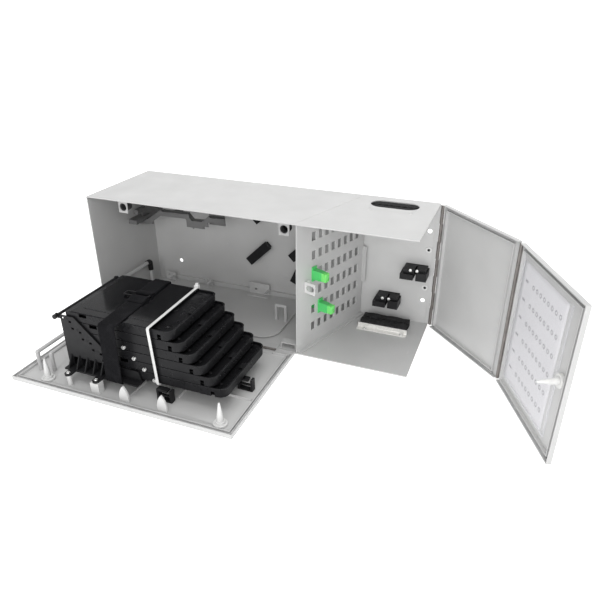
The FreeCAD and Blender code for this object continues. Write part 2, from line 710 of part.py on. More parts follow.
FRONT_ROUND_FOOT = (84, -182)
FRONT_SQUARE_FOOT = (129, -182)
REAR_FEET = [(84, -50), (178, -50)]
STAND_FEET = [FRONT_ROUND_FOOT, FRONT_SQUARE_FOOT, *REAR_FEET]


def stand_feet():
    """Plastic pillars on the lid that carry the base of the tray stand, and their screws."""
    seat, height = "pan_sheet + 0.05", "stand_floor - pan_sheet - 0.1"
    feet, screws = [], []
    for x, y in STAND_FEET:
        if (x, y) == FRONT_SQUARE_FOOT:
            foot = block(x - 6.5, y - 5, seat, 13, 10, height)
        else:
            foot = rod(x, y, seat, 3.4, height)
        feet.append(cut(foot, rod(x, y, "stand_floor - 8", 1.6, 9)))
        screws.append(fuse(rod(x, y, "stand_floor + stand_sheet + 0.05", 2.8, 1.8),
                           rod(x, y, "stand_floor - 5", 1.4, "stand_sheet + 6")))
    sub_part("stand_feet", in_case, *feet)
    sub_part("stand_screws", in_case, *screws)


# ---------------------------------------------------------------- splice trays

GUSSETS = (76, 89, 102.5, 115.5, 128)


def pivot_of(level):
    return f"first_pivot_x - {level} * tray_step_x", f"first_pivot_z + {level} * tray_step_z"


def tray_stand():
    """Two triangular cheeks with rows of holes on a raised base, a back web, and gussets on a front apron."""
    top_x, top_z = pivot_of(TRAYS - 1)
    left, right = f"{top_x} - stand_left", "first_pivot_x + stand_right"
    floor_top = "stand_floor + stand_sheet"
    outline = [
        (left, "stand_floor"), (right, "stand_floor"), (f"{right} - 4", "first_pivot_z + 9"),
        ("first_pivot_x + 5", "first_pivot_z + 9"), (f"{top_x} + 10", f"{top_z} + 3.9"),
        (left, f"{top_z} + 3.9"),
    ]
    depth = "tray_width + 2 * tray_gap"
    across = f"{depth} + 6"
    front, rear = "stand_front", f"stand_front + cheek + {depth}"
    cheeks = [profile("XZ_Plane", outline, "cheek", 0, f"{y} + cheek") for y in (front, rear)]
    base = block(left, f"{front} - stand_apron", "stand_floor", f"({right}) - ({left})",
                 f"stand_apron + 2 * cheek + {depth}", "stand_sheet")
    web = block(left, f"{front} + 1", "stand_floor", 2, f"{depth} + 2", f"{top_z} - 9 - stand_floor")
    slope = [(f"{front} - stand_apron + 0.5", f"{floor_top} - 0.4"), (f"{front} + 0.5", f"{floor_top} - 0.4"),
             (f"{front} + 0.5", 37), (f"{front} - 0.8", 37)]
    gussets = [profile("YZ_Plane", slope, "gusset", x) for x in GUSSETS]
    eyelet_x, eyelet_z = f"{top_x} - eyelet_left", f"{top_z} + eyelet_up"
    eyelets, lugs, holes = [], [], []
    for y in (front, rear):
        eyelets.append(rod(eyelet_x, y, eyelet_z, 3.4, "cheek", Y))
        eyelets.append(block(eyelet_x, y, f"{eyelet_z} - 3.4", 7, "cheek", 3.2))
    for x, y in (FRONT_ROUND_FOOT, FRONT_SQUARE_FOOT):
        lugs.append(rod(x, y, "stand_floor", 5, "stand_sheet"))
        lugs.append(block(x - 5, y, "stand_floor", 10, f"{front} - stand_apron + 1 - {y}", "stand_sheet"))
    for x, y in STAND_FEET:
        holes.append(rod(x, y, "stand_floor - 1", 1.6, "stand_sheet + 2"))
    for level in range(TRAYS):
        x, z = pivot_of(level)
        holes.append(rod(x, f"{front} - 1", z, "pivot_pin + play", across, Y))
        holes.append(block(f"{x} - 9.9", f"{front} - 1", f"{z} - 1.6", 4, across, 3.2))
        if level:
            middle_x, middle_z = f"{x} + tray_step_x / 2 - 5.5", f"{z} - tray_step_z / 2 + 1.4"
            holes.append(block(middle_x, f"{front} - 1", middle_z, 4, across, 3.2))
    holes.append(rod(eyelet_x, f"{front} - 1", eyelet_z, 2.1, across, Y))
    windows = [block(start + 2.6, f"{front} - 0.2", f"{floor_top} + 1", end - start - 3.4, "cheek + 0.4", 13)
               for start, end in zip(GUSSETS, GUSSETS[1:])]
    whole = cut(fuse(*cheeks, base, web, *gussets, *eyelets, *lugs), *windows, *holes)
    sub_part("tray_stand", in_case, whole)
    pin = fuse(rod(eyelet_x, f"{front} - 3", eyelet_z, 2, f"{depth} + 10", Y),
               rod(eyelet_x, f"{front} - 5", eyelet_z, 3.2, 2.5, Y))
    sub_part("stand_retaining_rod", in_case, pin)


def tray(level):
    """A splice tray: floor, walls with rounded free corners, spools, splice comb and two pivot pins."""
    bottom = "-tray_drop"

    def far_corner(middle, direction):
        return upright(direction) and middle.x > SIZES["tray_length"] / 2

    outer = round_edges(block(-3, 0, bottom, "tray_length + 3", "tray_width", "tray_height"),
                        SIZES["tray_corner"], far_corner)
    hollow = round_edges(block(4, "tray_wall", f"{bottom} + tray_floor", "tray_length - 4 - tray_wall",
                               "tray_width - 2 * tray_wall", "tray_height"),
                         SIZES["tray_corner"] - SIZES["tray_wall"], far_corner)
    # both long walls have a notch beside the free corner, and a low gate where tubes enter near the pivot
    gates = [block(x, y, z, length, "tray_wall + 2", 8)
             for y in ("-1", "tray_width - tray_wall - 1")
             for x, z, length in (("tray_length - 20", f"{bottom} - 1", 5.5), (18, f"{bottom} + 7", 12))]
    shell = cut(outer, hollow, *gates)
    floor_top = f"{bottom} + tray_floor - 0.1"
    spools = [cut(rod(x, "tray_width / 2", floor_top, 22, 6), rod(x, "tray_width / 2", floor_top, 20.4, 8))
              for x in (36, 100)]
    comb = [block(f"{58 + 4 * tooth}", 10, floor_top, 1.4, 30, 5) for tooth in range(6)]
    ledges = [block("tray_length - 44", "tray_wall - 0.5", f"{bottom} + tray_height - 1.2", 10, 5, 1.2),
              block("tray_length - 8", "tray_width / 2 - 6", f"{bottom} + tray_height - 1.2", 7, 12, 1.2)]
    barrel = rod(0, 0, 0, "tray_barrel", "tray_width", Y)
    pins = [rod(0, "-tray_gap - cheek + 0.2", 0, "pivot_pin", "tray_gap + cheek", Y),
            rod(0, "tray_width - 0.2", 0, "pivot_pin", "tray_gap + cheek", Y)]
    whole = fuse(shell, *spools, *comb, *ledges, barrel, *pins)
    sub_part(f"splice_tray_{level + 1}", on_tray(level), whole)
    if level < TRAYS - 2:
        tube = cut(rod(55, -2.5, 1.2, 2.3, 2.5, Y), rod(55, -3, 1.2, 1.4, 4, Y))
        sub_part(f"tube_end_{level + 1}", on_tray(level), tube)


def tray_cover():
    """The clear cover that snaps over the top tray."""
    top = "tray_height - tray_drop"
    sheet = block(5, 1, f"{top} + 0.05", "tray_length - 35", "tray_width - 2", "cover_height - 0.8")
    pane = block(15, 14, f"{top} + 0.05", "tray_length - 48", "tray_width - 28", "cover_height - 0.2")
    sub_part("tray_cover", on_tray(TRAYS - 1), fuse(sheet, pane))


def stack_top():
    return f"first_pivot_z + {TRAYS - 1} * tray_step_z + tray_height - tray_drop + cover_height"


def loop_around(x, width, low, sheet, clearance):
    """A flat band around the tray stack: front, top, back and underneath."""
    y_front = f"stand_front - {clearance}"
    y_back = f"stand_front + 2 * cheek + tray_width + 2 * tray_gap + {clearance}"
    high = f"{stack_top()} + 0.1"
    outer = block(x, f"{y_front} - {sheet}", f"{low}", width, f"({y_back}) - ({y_front}) + 2 * {sheet}",
                  f"({high}) - ({low}) + {sheet}")
    inner = block(f"{x} - 1", y_front, f"({low}) + {sheet}", f"{width} + 2", f"({y_back}) - ({y_front})",
                  f"({high}) - ({low}) - {sheet}")
    return cut(outer, inner)


def strap_loop():
    """A band that hangs in front of the stand's apron, runs under its base and over the stack."""
    rear = "stand_front + 2 * cheek + tray_width + 2 * tray_gap + 0.5"
    top, low = f"{stack_top()} + 0.1", "stand_floor - 0.1"
    apron = "stand_front - stand_apron - 1"
    inner = [(apron, low), (rear, low), (rear, top), ("stand_front - 0.3", top)]
    outward = [(-1, -1), (1, -1), (1, 1), (-1, 1)]
    outer = [(f"{y} + {way_y} * strap_sheet", f"{z} + {way_z} * strap_sheet")
             for (y, z), (way_y, way_z) in zip(inner, outward)]
    return cut(profile("YZ_Plane", outer, "strap_width", "strap_left"),
               profile("YZ_Plane", inner, "strap_width + 2", "strap_left - 1"))


def straps():
    """A hook-and-loop strap with its buckle, and a cable tie, around the stack."""
    sub_part("tray_strap", in_case, strap_loop())
    top = f"{stack_top()} + strap_sheet + 0.2"
    ring = cut(block("strap_left - 13", -100.5, top, "strap_width + 16", 15, 3),
               block("strap_left - 6.5", -95.5, f"{top} - 1", "strap_width + 3", 5, 6))
    sub_part("strap_buckle", in_case, ring)
    tie = loop_around("tie_left", "tie_width", "first_pivot_z - tray_drop - 1.6", "tie_sheet", 0.4)
    sub_part("cable_tie", in_case, tie)


# ---------------------------------------------------------------- side panel and front door

def pan(length, free_rim):
    """A shallow pan: x along it from its hinge, its sheet on the outside, rims and lips on the inside."""
    low_side = "-pan_depth / 2"
    free_end = f"pan_gap + {length}"
    sheet = block("pan_gap", "pan_depth / 2 - pan_sheet", 0, length, "pan_sheet", "case_height")
    pieces = [block("pan_gap", low_side, z, length, "pan_depth", "pan_sheet")
              for z in ("0", "case_height - pan_sheet")]
    lip_ends = ["pan_gap + 7", f"{free_end} - lip_inset - pan_sheet"]
    if free_rim:
        pieces.append(block(f"{free_end} - pan_sheet", low_side, 0, "pan_sheet", "pan_depth", "case_height"))
    else:
        lip_ends[1] = f"{free_end} - 7 - pan_sheet"
    lip_length = f"{lip_ends[1]} + pan_sheet - ({lip_ends[0]})"
    for z in ("lip_inset", "case_height - lip_inset - pan_sheet"):
        pieces.append(block(lip_ends[0], f"{low_side} + 1", z, lip_length, "pan_depth - 1", "pan_sheet"))
    for x in lip_ends:
        pieces.append(block(x, f"{low_side} + 1", "lip_inset", "pan_sheet", "pan_depth - 1",
                            "case_height - 2 * lip_inset"))
    return fuse(sheet, *pieces)


def pan_seal(length, free_side):
    """The gasket in the groove between a pan's rim and its inner lip."""
    low_side = "-pan_depth / 2 + 1.4"
    run = f"{length} - 8 - pan_sheet" if free_side else f"{length} - 14"
    strips = [block("pan_gap + 7", low_side, z, run, 3.3, 3.6)
              for z in ("pan_sheet + 0.4", "case_height - pan_sheet - 4")]
    if free_side:
        strips.append(block(f"pan_gap + {length} - pan_sheet - 4.6", low_side, "pan_sheet + 0.4", 3.6, 3.3,
                            "case_height - 2 * pan_sheet - 0.8"))
    return fuse(*strips) if free_side else group(*strips)


def side_panel():
    sub_part("side_panel", on_side, pan("side_length", False))
    sub_part("side_panel_gasket", on_side, pan_seal("side_length", False))


def front_door():
    hole = rod("door_post_x", 0, "door_post_z", 3.6, 6, Y)
    sub_part("front_door", on_door, cut(pan("door_length", True), hole))
    sub_part("front_door_gasket", on_door, pan_seal("door_length", True))
    face = "pan_depth / 2 - pan_sheet - 0.05"
    sheet = block(14.5, f"{face} - 0.3", 17, 116, 0.3, 166)
    sub_part("label_sheet", on_door, sheet)
    left, low, wide, tall, hem = 12.5, 15, 128, 171, 1.5
    pocket = fuse(
        block(left, f"{face} - 1.1", low, wide, 0.5, tall),
        block(left, f"{face} - 1.1", low, hem, 1.1, tall),
        block(left + wide - hem, f"{face} - 1.1", low, hem, 1.1, tall),
        block(left, f"{face} - 1.1", low, wide, 1.1, hem),
    )
    sub_part("label_pocket", on_door, pocket)
    back = FreeCAD.Vector(0, -1, 0)
    boss = cut(rod("door_post_x", f"{face}", "door_post_z", "boss_radius - 1", 5, back),
               rod("door_post_x", f"{face} + 1", "door_post_z", "post_base + play", 8, back))
    sub_part("door_post_boss", on_door, boss)
    shank = rod("door_post_x", f"{face} - 0.1", "door_post_z", "post_base", 6, back)
    tip = cone("door_post_x", f"{face} - 6.1", "door_post_z", "post_base", "post_tip",
               "door_post_height - 4", back)
    neck = rod("door_post_x", "pan_depth / 2 - 0.1", "door_post_z", 3.5, 2, back)
    slot = block("door_post_x - 3", "pan_depth / 2 - 1", "door_post_z - 0.6", 6, 2, 1.2)
    sub_part("door_post", on_door, cut(fuse(shank, tip, neck), slot))


# ---------------------------------------------------------------- build, test and write

case_shell()
adapter_panel()
latch_catch()
lid_lock_tabs()
top_cable_guide()
back_wall_clips()
patch_clips()
wall_bushes()
floor_fittings()
floor_guides()
cable_entries()
adapters()
lid_hinges()
door_hinges()
lid_panel()
lid_posts()
lid_fittings()
stand_feet()
tray_stand()
for tray_level in range(TRAYS):
    tray(tray_level)
tray_cover()
straps()
side_panel()
front_door()
doc.recompute()

for thing in doc.Objects:
    if "Invalid" in thing.State or "Error" in thing.State:
        raise RuntimeError(f"{thing.Label} failed: {thing.State}")
for thing in sub_parts:
    if thing.Shape.isNull() or not thing.Shape.isValid() or not thing.Shape.Solids:
        raise RuntimeError(f"{thing.Label} has no valid shape")

os.makedirs("parts", exist_ok=True)
for thing in sub_parts:
    thing.Shape.exportStep(os.path.join("parts", thing.Label + ".step"))
print(f"{len(sub_parts)} sub-parts, {sum(len(thing.Shape.Solids) for thing in sub_parts)} solids")
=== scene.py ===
import json
import math

import bmesh
import bpy
from mathutils import Matrix, Vector, noise


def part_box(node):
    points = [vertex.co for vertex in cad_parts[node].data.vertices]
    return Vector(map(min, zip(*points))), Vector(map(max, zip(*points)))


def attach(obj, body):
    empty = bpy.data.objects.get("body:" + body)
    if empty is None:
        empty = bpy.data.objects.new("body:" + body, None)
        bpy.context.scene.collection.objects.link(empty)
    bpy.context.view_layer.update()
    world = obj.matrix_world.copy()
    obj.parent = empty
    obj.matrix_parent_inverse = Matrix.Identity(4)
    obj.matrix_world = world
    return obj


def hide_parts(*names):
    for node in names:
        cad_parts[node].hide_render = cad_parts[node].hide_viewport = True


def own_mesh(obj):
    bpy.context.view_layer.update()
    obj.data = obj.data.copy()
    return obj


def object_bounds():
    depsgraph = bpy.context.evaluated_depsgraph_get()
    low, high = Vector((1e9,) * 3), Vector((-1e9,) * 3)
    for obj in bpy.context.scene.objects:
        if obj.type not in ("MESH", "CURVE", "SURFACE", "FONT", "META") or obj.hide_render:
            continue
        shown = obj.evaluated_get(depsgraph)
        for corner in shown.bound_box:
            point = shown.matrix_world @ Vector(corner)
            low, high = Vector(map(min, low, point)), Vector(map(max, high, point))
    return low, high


# The looks of the fibre termination box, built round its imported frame. Lengths are in metres: a length in
# millimetres is written as a number times MM.

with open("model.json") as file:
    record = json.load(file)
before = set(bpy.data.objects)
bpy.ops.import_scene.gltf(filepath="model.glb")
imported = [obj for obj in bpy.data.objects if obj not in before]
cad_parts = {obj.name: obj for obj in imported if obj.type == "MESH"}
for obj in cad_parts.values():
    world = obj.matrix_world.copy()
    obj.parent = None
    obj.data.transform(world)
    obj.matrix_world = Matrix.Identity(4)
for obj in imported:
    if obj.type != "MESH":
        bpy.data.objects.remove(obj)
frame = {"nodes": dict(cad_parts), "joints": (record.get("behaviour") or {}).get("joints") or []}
cad_low, cad_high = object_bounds()
nodes = frame["nodes"]
joints = {joint["name"]: joint for joint in frame["joints"]}
TRAYS = sum(node.startswith("splice_tray_") for node in nodes)
TUBE_ENDS = sum(node.startswith("tube_end_") for node in nodes)
MM = 0.001


# ---------------------------------------------------------------- materials

class Surface:
    """A procedural material: a node tree with one short call for each kind of node."""

    def __init__(self, name):
        self.material = bpy.data.materials.new("look_" + name)
        self.material.use_nodes = True
        tree = self.material.node_tree
        self.nodes, self.links = tree.nodes, tree.links
        self.shader = self.nodes["Principled BSDF"]
        self.place = self.add("TexCoord")["Object"]

    def put(self, socket, value):
        if isinstance(value, bpy.types.NodeSocket):
            self.links.new(value, socket)
        elif hasattr(socket.default_value, "__len__") and len(socket.default_value) == 4:
            socket.default_value = (*value[:3], 1)
        else:
            socket.default_value = value

    def add(self, kind, inputs=(), **settings):
        made = self.nodes.new("ShaderNode" + kind)
        for key, value in settings.items():
            setattr(made, key, value)
        for name, value in dict(inputs).items():
            self.put(made.inputs[name], value)
        return made.outputs

    def math(self, operation, *values):
        return self.add("Math", enumerate(values), operation=operation)[0]

    def span(self, value, low, high, to_low=0.0, to_high=1.0):
        """Stretches low..high to to_low..to_high, clamped."""
        ends = {"Value": value, "From Min": low, "From Max": high, "To Min": to_low, "To Max": to_high}
        return self.add("MapRange", ends)[0]

    def mix(self, share, first, second):
        return self.add("Mix", {0: share, 6: first, 7: second}, data_type="RGBA")[2]

    def cloud(self, size, detail=3.0, stretch=(1, 1, 1), place=None):
        """Soft noise whose blobs are about size millimetres across."""
        where = self.place if place is None else place
        if stretch != (1, 1, 1):
            where = self.add("Mapping", {"Vector": where, "Scale": stretch})[0]
        return self.add("TexNoise", {"Vector": where, "Scale": 1 / (size * MM), "Detail": detail})[0]

    def edges(self, radius):
        """1 along sharp outer and inner edges, 0 on flat faces."""
        rounded = self.add("Bevel", {"Radius": radius * MM}, samples=4)[0]
        flat = self.add("NewGeometry")["Normal"]
        likeness = self.add("VectorMath", {0: rounded, 1: flat}, operation="DOT_PRODUCT")["Value"]
        return self.span(likeness, 0.995, 0.8)

    def openness(self, reach):
        """1 in the open, towards 0 where faces within reach millimetres close in."""
        return self.add("AmbientOcclusion", {"Distance": reach * MM}, samples=6)["AO"]

    def bump(self, height, depth, normal=None):
        inputs = {"Height": height, "Distance": depth * MM, "Strength": 1.0}
        if normal is not None:
            inputs["Normal"] = normal
        return self.add("Bump", inputs)["Normal"]

    def finish(self, **inputs):
        for name, value in inputs.items():
            self.put(self.shader.inputs[name.replace("_", " ")], value)
        return self.material


def shade(colour, factor):
    return tuple(min(1.0, channel * factor) for channel in colour)


def moulded(name, colour, roughness, grain=0.5, depth=0.02, mottle=0.06, edge_wear_and_highlight=None, edge=0.35, reach=0.0,
            gloss=0.5, **inputs):
    """Moulded plastic: faint cloudiness, fine spark-eroded grain, edges painted lighter: partly rubbed wear,
    partly a painted highlight.

    With a reach, recesses are painted dark and dull as a painted shade, and edges stay shiny.
    """
    look = Surface(name)
    base = look.mix(look.span(look.cloud(22), 0.3, 0.7), shade(colour, 1 - mottle), shade(colour, 1 + mottle))
    if edge_wear_and_highlight is None:
        edge_wear_and_highlight = tuple(channel + 0.12 for channel in colour)
    # Edges painted lighter in patches: partly rubbed wear, partly a painted highlight.
    rub_and_highlight = look.math("MULTIPLY", look.edges(edge), look.span(look.cloud(4), 0.42, 0.62, 0.0, 0.55))
    base = look.mix(rub_and_highlight, base, edge_wear_and_highlight)
    if reach:
        # Painted shade: where ambient occlusion finds a recess, the colour is painted darker and the gloss is
        # turned down.
        clear = look.span(look.openness(reach), 0.25, 0.85)
        base = look.mix(clear, shade(colour, 0.35), base)
        gloss = look.math("ADD", look.math("MULTIPLY", clear, gloss),
                          look.math("MULTIPLY", look.edges(edge), 0.25))
    rough = look.span(look.cloud(9), 0.3, 0.7, roughness - 0.06, roughness + 0.08)
    normal = look.bump(look.cloud(grain, 2.0), depth)
    return look.finish(Base_Color=base, Roughness=rough, Normal=normal, Specular_IOR_Level=gloss, **inputs)


def powder_coat(name, colour, dirt=0.05):
    """Powder-coated sheet steel: orange peel, fine speckle, handling smudges, light scuffs, and edges painted
    paler: a painted highlight on their rounding, with a little edge wear.
    """
    look = Surface(name)
    smudge = look.span(look.cloud(60, 4.0), 0.35, 0.7)
    base = look.mix(smudge, shade(colour, 1 - dirt), shade(colour, 1 + dirt / 2))
    speckle = look.span(look.cloud(0.5, 1.0), 0.2, 0.8, 0.0, 0.12)
    base = look.mix(speckle, base, shade(colour, 0.8))
    scuff = look.math("MULTIPLY", look.span(look.cloud(5, 2.0, (1, 0.18, 1)), 0.68, 0.74, 0, 0.35),
                      look.span(look.cloud(40), 0.52, 0.6))
    base = look.mix(scuff, base, shade(colour, 1.25))
    # Painted highlight: edges are painted paler, as if their rounding caught the light, with a little edge
    # wear.
    base = look.mix(look.math("MULTIPLY", look.edges(0.8), 0.45), base, shade(colour, 1.22))
    rough = look.span(look.cloud(35, 3.0), 0.3, 0.7, 0.38, 0.52)
    peel = look.bump(look.cloud(1.6, 1.5), 0.045)
    normal = look.bump(look.cloud(0.35, 1.0), 0.012, peel)
    return look.finish(Base_Color=base, Roughness=rough, Normal=normal, Coat_Weight=0.12, Coat_Roughness=0.3)


def zinc_plate(name):
    """Galvanised steel: crystals of slightly different grey, dull and bright by turns."""
    look = Surface(name)
    crystal = look.add("TexVoronoi", {"Vector": look.place, "Scale": 1 / (1.6 * MM)})["Color"]
    tone = look.span(look.add("SeparateColor", {0: crystal})[0], 0.0, 1.0)
    base = look.mix(tone, (0.68, 0.67, 0.65), (0.8, 0.79, 0.77))
    # Painted highlight: edges are painted brighter, with a little edge wear.
    base = look.mix(look.edges(0.4), base, (0.88, 0.87, 0.85))
    rough = look.span(look.math("ADD", look.math("MULTIPLY", tone, 0.5), look.cloud(6)), 0.2, 1.2, 0.28, 0.5)
    return look.finish(Base_Color=base, Roughness=rough, Metallic=0.55, Normal=look.bump(tone, 0.006))


def hinge_leaf(name, colour, paint):
    """Dull steel knuckles round each hinge line, and painted leaves away from it."""
    look = Surface(name)
    place = look.add("SeparateXYZ", {0: look.place})
    gaps = []
    for joint, first, second in (("side_panel_hinge", 0, 1), ("front_door_fold", 0, 1), ("lid_hinge", 1, 2)):
        line = joints[joint]["pos_m"]
        across = look.math("SUBTRACT", place[first], line[first])
        along = look.math("SUBTRACT", place[second], line[second])
        gaps.append(look.math("SQRT", look.math("ADD", look.math("MULTIPLY", across, across),
                                                look.math("MULTIPLY", along, along))))
    nearest = look.math("MINIMUM", look.math("MINIMUM", gaps[0], gaps[1]), gaps[2])
    painted = look.span(nearest, 3.0 * MM, 3.2 * MM)
    lines = look.cloud(0.8, 2.0, (1, 1, 0.06))
    base = look.mix(look.span(lines, 0.3, 0.7), shade(colour, 0.75), shade(colour, 1.15))
    base = look.mix(look.span(look.cloud(7, 4.0), 0.5, 0.75, 0.0, 0.6), base, shade(colour, 0.5))
    base = look.mix(painted, base, look.mix(look.span(look.cloud(30), 0.3, 0.7), paint, shade(paint, 0.9)))
    rough = look.span(look.cloud(3), 0.3, 0.7, 0.33, 0.5)
    metal = look.math("MULTIPLY", look.math("SUBTRACT", 1.0, painted), 0.4)
    return look.finish(Base_Color=base, Roughness=rough, Metallic=metal, Normal=look.bump(lines, 0.012))


def steel(name, colour, roughness, stretch):
    """Drawn or rolled steel with fine lines along one axis."""
    look = Surface(name)
    lines = look.cloud(0.8, 2.0, stretch)
    base = look.mix(look.span(lines, 0.3, 0.7), shade(colour, 0.82), shade(colour, 1.1))
    # Painted highlight: edges are painted brighter, with a little edge wear.
    base = look.mix(look.math("MULTIPLY", look.edges(0.3), 0.6), base, shade(colour, 1.35))
    rough = look.span(look.cloud(3), 0.3, 0.7, roughness - 0.07, roughness + 0.1)
    return look.finish(Base_Color=base, Roughness=rough, Metallic=0.9, Normal=look.bump(lines, 0.015))


def smoked_cover(name):
    """Smoked clear plastic with hairline scratches, and edges painted lighter: partly a dulled edge, partly a
    painted highlight.
    """
    look = Surface(name)
    scratch = look.span(look.cloud(1.4, 3.0, (1, 0.05, 1)), 0.66, 0.72)
    rough = look.math("ADD", look.span(look.cloud(14), 0.3, 0.7, 0.07, 0.14),
                      look.math("MULTIPLY", scratch, 0.15))
    # Edges painted lighter: partly a dulled cut edge, partly a painted highlight.
    base = look.mix(look.edges(0.4), (0.008, 0.008, 0.009), (0.16, 0.16, 0.17))
    return look.finish(Base_Color=base, Roughness=rough, Transmission_Weight=0.2, IOR=1.45,
                       Specular_IOR_Level=0.08, Normal=look.bump(look.cloud(18), 0.05))


def nylon(name, colour):
    """Natural nylon: milky, lets some light through, faint flow lines."""
    look = Surface(name)
    flow = look.cloud(5, 3.0, (1, 1, 0.3))
    base = look.mix(look.span(flow, 0.3, 0.7), shade(colour, 0.93), shade(colour, 1.05))
    rough = look.span(look.cloud(4), 0.3, 0.7, 0.32, 0.48)
    return look.finish(Base_Color=base, Roughness=rough, Subsurface_Weight=0.35, Subsurface_Scale=3 * MM,
                       Subsurface_Radius=(1.0, 1.0, 0.9), Normal=look.bump(flow, 0.05))


def open_foam(name):
    """Black open-cell foam: pits painted darker than the cell walls between them, as a painted shade."""
    look = Surface(name)
    cell = look.add("TexVoronoi", {"Vector": look.place, "Scale": 1 / (0.9 * MM)})["Distance"]
    # Painted shade: the pits of the cells are painted darker than their walls.
    base = look.mix(look.span(cell, 0.1, 0.7), (0.004, 0.004, 0.004), (0.035, 0.035, 0.036))
    return look.finish(Base_Color=base, Roughness=0.95, Normal=look.bump(cell, 0.5),
                       Specular_IOR_Level=0.15)


def rubber(name, colour):
    look = Surface(name)
    skin = look.cloud(0.7, 3.0)
    base = look.mix(look.span(look.cloud(12), 0.35, 0.65), shade(colour, 0.8), shade(colour, 1.2))
    base = look.mix(look.span(skin, 0.6, 0.8, 0.0, 0.5), base, shade(colour, 1.7))
    return look.finish(Base_Color=base, Roughness=0.85, Normal=look.bump(skin, 0.08))


def hook_and_loop(name):
    """Black woven strap: a fine twill under short loops, fuzzy and a little dusty."""
    look = Surface(name)
    twill = look.add("TexWave", {"Vector": look.place, "Scale": 1 / (6 * MM), "Distortion": 1.5,
                                 "Detail": 2.0, "Detail Scale": 3.0}, bands_direction="DIAGONAL")[1]
    fuzz = look.cloud(0.45, 4.0)
    height = look.math("ADD", look.math("MULTIPLY", twill, 0.6), fuzz)
    base = look.mix(look.span(fuzz, 0.35, 0.75), (0.003, 0.003, 0.004), (0.012, 0.012, 0.013))
    base = look.mix(look.span(look.cloud(16, 4.0), 0.52, 0.8, 0.0, 0.5), base, (0.02, 0.02, 0.022))
    return look.finish(Base_Color=base, Roughness=0.95, Normal=look.bump(height, 0.25),
                       Specular_IOR_Level=0.08, Sheen_Weight=0.02, Sheen_Roughness=0.4)


CHART_ROWS = 6
CHART_COLUMNS = 8


def port_chart(name):
    """White paper with six printed rows: a dash, then eight small rings. It reads the sheet's UV map."""
    look = Surface(name)
    place = look.add("SeparateXYZ", {0: look.add("TexCoord")["UV"]})
    across, up = place[0], place[1]

    def near(value, middle, reach):
        """1 where a value is within reach of the middle."""
        return look.math("LESS_THAN", look.math("ABSOLUTE", look.math("SUBTRACT", value, middle)), reach)

    def within(value, high):
        return look.math("MULTIPLY", look.math("GREATER_THAN", value, 0.0),
                         look.math("LESS_THAN", value, float(high)))

    column = look.math("MULTIPLY", look.math("SUBTRACT", across, 0.24), CHART_COLUMNS / 0.7)
    row = look.math("MULTIPLY", look.math("SUBTRACT", up, 0.06), CHART_ROWS / 0.88)
    inside, rows = within(column, CHART_COLUMNS), within(row, CHART_ROWS)
    off_x = look.math("SUBTRACT", look.math("FRACT", column), 0.5)
    off_y = look.math("MULTIPLY", look.math("SUBTRACT", look.math("FRACT", row), 0.5), 2.3)
    distance = look.math("SQRT", look.math("ADD", look.math("POWER", off_x, 2.0),
                                           look.math("POWER", off_y, 2.0)))
    ring = near(distance, 0.22, 0.085)
    dash = look.math("MULTIPLY", near(across, 0.12, 0.035), near(off_y, 0.0, 0.16))
    ink = look.math("MULTIPLY", rows, look.math("ADD", look.math("MULTIPLY", ring, inside), dash))
    ink = look.math("MULTIPLY", ink, look.span(look.cloud(1.2), 0.25, 0.55, 0.3, 0.65))
    fibre = look.cloud(0.6, 4.0)
    paper = look.mix(look.span(fibre, 0.3, 0.7), (0.56, 0.555, 0.57), (0.61, 0.605, 0.62))
    return look.finish(Base_Color=look.mix(ink, paper, (0.12, 0.12, 0.13)), Roughness=0.75,
                       Normal=look.bump(fibre, 0.02))


def clear_film(name):
    look = Surface(name)
    wave = look.cloud(45, 1.0)
    return look.finish(Base_Color=(0.85, 0.85, 0.9), Roughness=look.span(look.cloud(8), 0.3, 0.7, 0.1, 0.18),
                       Alpha=look.span(wave, 0.3, 0.7, 0.1, 0.15), Normal=look.bump(wave, 0.08), IOR=1.4)


